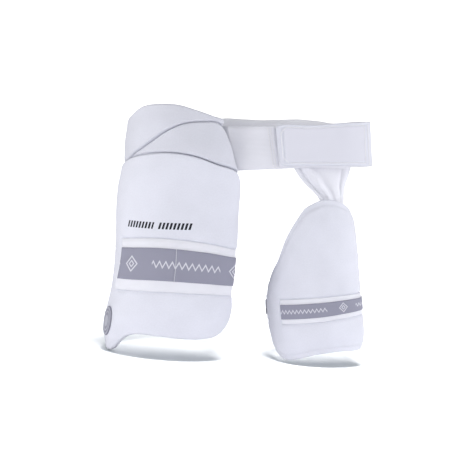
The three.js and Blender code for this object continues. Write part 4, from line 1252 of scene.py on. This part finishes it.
class GUARD_OT_belt(bpy.types.Operator):
    """Makes the waist belt and its closing tab, with their stitching"""

    bl_idname = "guard.belt"
    bl_label = "Waist belt"

    def execute(self, context):
        sizes, colours = context.scene.guard_sizes, context.scene.guard_colours
        webbing = webbing_stuff("elastic", colours.webbing)
        # The belt round the back takes a lighter copy of the elastic: painted light.
        wide = webbing_stuff("waist elastic", colours.waist_webbing_painted_light)
        mark = (colours.tab_middle, tab_panel)
        brushed = cloth_material(
            "brushed tab cloth", colours.cloth, "Knit", TAB_KNIT, 0.9, 0.5, depth=0.00025, mark=mark
        )
        thread = thread_stuff("thread", colours.thread)
        thick = sizes.belt_thickness / MM

        end = along_waist(BELT_FRONT_END)
        front, cloth = waist_grid((0, 0), end, 320, 0, (73, 59), (-3.5, 1), lift=belt_front_lift(end))
        sheet_piece("belt_front_elastic", front, thick, cloth, webbing, "belt_front")
        start = along_waist(WAIST_BELT_START)
        grid, cloth = waist_grid((start, start), 1, 200, 1, (BELT_WIDTH, BELT_WIDTH))
        sag(grid, WAIST_SAG, smoothstep(grid[..., 1], 0, 40))
        sheet_piece("waist_belt_elastic", grid, thick, cloth, wide, "waist_belt")
        left, right = (along_waist(x) for x in TAB_BACKING_ENDS)
        grid, cloth = waist_grid((left, left), right, 60, 1, (60.5, 62.5), (3, -3.6), 9)
        sheet_piece("tab_backing_cloth", grid, thick, cloth, webbing, "tab_backing")
        left = [along_waist(x) for x in TAB_FACE_LEFT]
        tab, cloth = waist_grid(
            left, along_waist(TAB_FACE_RIGHT), 160, 2, (60.5, 67), (3, 1), 6, TAB_FACE_LEVELS, tab_border
        )
        sag(tab, TAB_SAG)
        sheet_piece("tab_face_cloth", tab, thick, cloth, brushed, "tab_face")

        rows = [
            [(along_waist(low) / end, 0.01), (along_waist(high) / end, 0.99)] for low, high in BELT_STITCHES
        ]
        stitching = (
            ("tab_stitches", "tab_face", tab, TAB_STITCHES),
            ("belt_front_stitches", "belt_front", front, rows),
        )
        for name, solid, sheet, paths in stitching:
            lines = [grid_line(sheet, path, thick / 2) for path in paths]
            piece = stitch_mesh(name, lines, sizes.stitch_length / MM, sizes.thread_radius / MM)
            finish_piece(piece, thread)
        return {"FINISHED"}


class GUARD_OT_hanger(bpy.types.Operator):
    """Makes the gathered cloth between the belt and the inner pad"""

    bl_idname = "guard.hanger"
    bl_label = "Hanger"

    def execute(self, context):
        colours = context.scene.guard_colours
        left, right, pull = (curve(HANGER_ROWS, HANGER_COLUMNS, column) for column in HANGER_COLUMNS[1:])
        across, down = np.meshgrid(np.linspace(0, 1, 90), np.linspace(1, 0, 60), indexing="ij")
        x = HANGER_MIDDLE + HANGER_WIDTH * (left(down) + (right(down) - left(down)) * across)
        z = HANGER_TOP - down * HANGER_DROP
        folds = sum(
            height * np.exp(-(((across - (top + (bottom - top) * down)) / spread) ** 2))
            for top, bottom, spread, height in HANGER_FOLDS
        )
        loose = HANGER_LOOSE * smoothstep(down, 0, 0.3)
        behind = LAYER_GAP + HANGER_BEHIND + loose
        start = np.interp(x, *belt_depth()) + BELT_THICKNESS / 2 + behind
        gathered = loose * (1 - 0.5 * smoothstep(down, 0.55, 0.8))
        seam = HANGER_SEAM * np.exp(-(((down - HANGER_SEAM_DOWN) / 0.018) ** 2))
        y = start + (INNER.front(x, z) + behind - start) * pull(down) - gathered * folds - seam
        grid = np.stack([x, y, z], -1)
        cloth = np.stack([across * HANGER_WIDTH, -down * HANGER_DROP], -1)
        jersey = cloth_material(
            "hanger jersey", dark(colours.webbing, 0.95)[:3], "Knit", JERSEY_KNIT, 0.75, 0.4, 0.00012
        )
        piece = sheet_piece("hanger_cloth", grid, JERSEY_THICKNESS, cloth, jersey, "hanger")
        return {"FINISHED"}


class GUARD_OT_badge(bpy.types.Operator):
    """Makes the oval badge on the outer side of the thigh pad"""

    bl_idname = "guard.badge"
    bl_label = "Badge"

    def execute(self, context):
        pad = thigh_pad_form(context.scene.guard_sizes)
        angle, level = BADGE_MIDDLE
        middle = np.array([unrolled(angle), level])
        turn = np.linspace(0, 2 * math.pi, 72, endpoint=False)
        across, up = BADGE_HALF[0] * np.cos(turn), BADGE_HALF[1] * np.sin(turn)
        sine, cosine = math.sin(math.radians(BADGE_LEAN)), math.cos(math.radians(BADGE_LEAN))
        loop = np.stack([across * cosine + up * sine, up * cosine - across * sine], -1)
        points, rings = [], []
        for share, height in (*BADGE_PROFILE, BADGE_BACK):
            flat = middle + loop * share
            stand = pad.outer(flat) + LAYER_GAP + height * BADGE_THICKNESS
            rings.append(list(range(len(points) * len(flat), (len(points) + 1) * len(flat))))
            points.append(pad.leg.point(rolled(flat[:, 0]), flat[:, 1], stand))
        *face, back = rings
        faces = [quad for wide, narrow in zip(face, face[1:]) for quad in ring_faces(wide, narrow)]
        faces += [quad[::-1] for quad in ring_faces(face[0], back)]
        faces += [tuple(face[-1]), tuple(back[::-1])]
        from_middle = np.repeat([share for share, _ in BADGE_PROFILE] + [1.0], len(loop))
        cloth = np.stack([from_middle, 0 * from_middle], -1) / MM
        piece = new_object("thigh_badge_moulding", np.concatenate(points), faces, cloth)
        finish_piece(piece, badge_rubber(context.scene.guard_colours), ["thigh_badge"])
        return {"FINISHED"}


def seen_and_bounced(tree, seen, bounced, output):
    """Shows one shader to the camera and lets another give the bounced light."""
    way, both = node(tree, "ShaderNodeLightPath"), node(tree, "ShaderNodeMixShader")
    for value, into in zip((way.outputs["Is Camera Ray"], bounced.outputs[0], seen.outputs[0]), both.inputs):
        tree.links.new(value, into)
    tree.links.new(both.outputs[0], output.inputs[0])


def floor_paper():
    """White paper that glows more the farther it is from the middle, and is grey to the bounced light."""
    paper = bpy.data.materials.new("floor paper")
    paper.use_nodes = True
    tree = paper.node_tree
    shader = tree.nodes["Principled BSDF"]
    shader.inputs["Base Color"].default_value = (0.9, 0.91, 0.92, 1)
    shader.inputs["Roughness"].default_value = 0.95
    shader.inputs["Specular IOR Level"].default_value = 0.0
    shader.inputs["Emission Strength"].default_value = 1.0
    away = node(tree, "ShaderNodeVectorMath", operation="LENGTH")
    tree.links.new(node(tree, "ShaderNodeTexCoord").outputs["Object"], away.inputs[0])
    far = ranged(tree, away.outputs["Value"], 0.45, 1.2, 0, 1)
    tree.links.new(mixed(tree, far, (0.09, 0.11, 0.12, 1), (1, 1, 1, 1)), shader.inputs["Emission Color"])
    grey = node(tree, "ShaderNodeBsdfDiffuse", in_Color=(0.45, 0.45, 0.47, 1))
    seen_and_bounced(tree, shader, grey, tree.nodes["Material Output"])
    return paper


def white_studio():
    """A world that is white behind the guard and lights it softly."""
    world = bpy.data.worlds.new("white studio")
    world.use_nodes = True
    tree = world.node_tree
    tree.nodes.clear()
    seen = node(tree, "ShaderNodeBackground", in_Color=(1, 1, 1, 1), in_Strength=1.4)
    lit = node(tree, "ShaderNodeBackground", in_Color=(0.95, 0.96, 1.0, 1), in_Strength=0.41)
    seen_and_bounced(tree, seen, lit, node(tree, "ShaderNodeOutputWorld"))
    return world


class GUARD_OT_stage(bpy.types.Operator):
    """Makes the white floor, the soft lights round the guard and the camera"""

    bl_idname = "guard.stage"
    bl_label = "Stage"

    def execute(self, context):
        scene = context.scene
        tilt = (0, math.radians(FLOOR_TILT), 0)
        bpy.ops.mesh.primitive_plane_add(size=FLOOR_SIZE, location=FLOOR_PLACE, rotation=tilt)
        floor = context.object
        floor.name = "floor"
        floor.data.materials.append(floor_paper())
        scene.world = white_studio()
        on_floor = bpy.data.collections.new("floor paper")
        on_floor.objects.link(floor)
        on_guard = bpy.data.collections.new("all but the floor paper")
        on_guard.objects.link(floor)
        on_guard.collection_objects[0].light_linking.link_state = "EXCLUDE"
        for name, place, size, power, colour, lit in LAMPS:
            light = bpy.data.lights.new(name, "AREA")
            light.size, light.energy, light.color = size, power, colour
            lamp = bpy.data.objects.new(name, light)
            lamp.location = place
            lamp.rotation_euler = (Vector(LAMPS_AIM) - Vector(place)).to_track_quat("-Z", "Y").to_euler()
            scene.collection.objects.link(lamp)
            lamp.light_linking.receiver_collection = on_floor if lit == "floor" else on_guard
        lens = bpy.data.cameras.new("camera")
        lens.lens, lens.clip_end = CAMERA_LENS, 200
        camera = bpy.data.objects.new("camera", lens)
        tilt = math.radians(CAMERA_TILT)
        away = Vector((0, math.cos(tilt), -math.sin(tilt))) * CAMERA_DISTANCE
        camera.location = Vector(CAMERA_AIM) - away
        camera.rotation_euler = (math.radians(90) - tilt, 0, 0)
        scene.collection.objects.link(camera)
        scene.camera = camera
        scene.view_settings.view_transform = "Standard"
        return {"FINISHED"}


STEPS = (GUARD_OT_pads, GUARD_OT_straps, GUARD_OT_belt, GUARD_OT_hanger, GUARD_OT_badge, GUARD_OT_stage)


class GUARD_PT_panel(bpy.types.Panel):
    """Lists the steps that build the guard"""

    bl_idname = "GUARD_PT_panel"
    bl_label = "Thigh guard"
    bl_space_type = "VIEW_3D"
    bl_region_type = "UI"
    bl_category = "Thigh guard"

    def draw(self, context):
        for step in STEPS:
            self.layout.operator(step.bl_idname)


CLASSES = (GuardSizes, GuardColours, *STEPS, GUARD_PT_panel)


def register():
    for item in CLASSES:
        bpy.utils.register_class(item)
    bpy.types.Scene.guard_sizes = bpy.props.PointerProperty(type=GuardSizes)
    bpy.types.Scene.guard_colours = bpy.props.PointerProperty(type=GuardColours)


def unregister():
    del bpy.types.Scene.guard_colours
    del bpy.types.Scene.guard_sizes
    for item in reversed(CLASSES):
        bpy.utils.unregister_class(item)


def main():
    register()
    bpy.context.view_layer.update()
    bpy.ops.guard.pads()
    bpy.ops.guard.straps()
    bpy.ops.guard.belt()
    bpy.ops.guard.hanger()
    bpy.ops.guard.badge()
    bpy.ops.guard.stage()


if __name__ == "__main__":
    main()
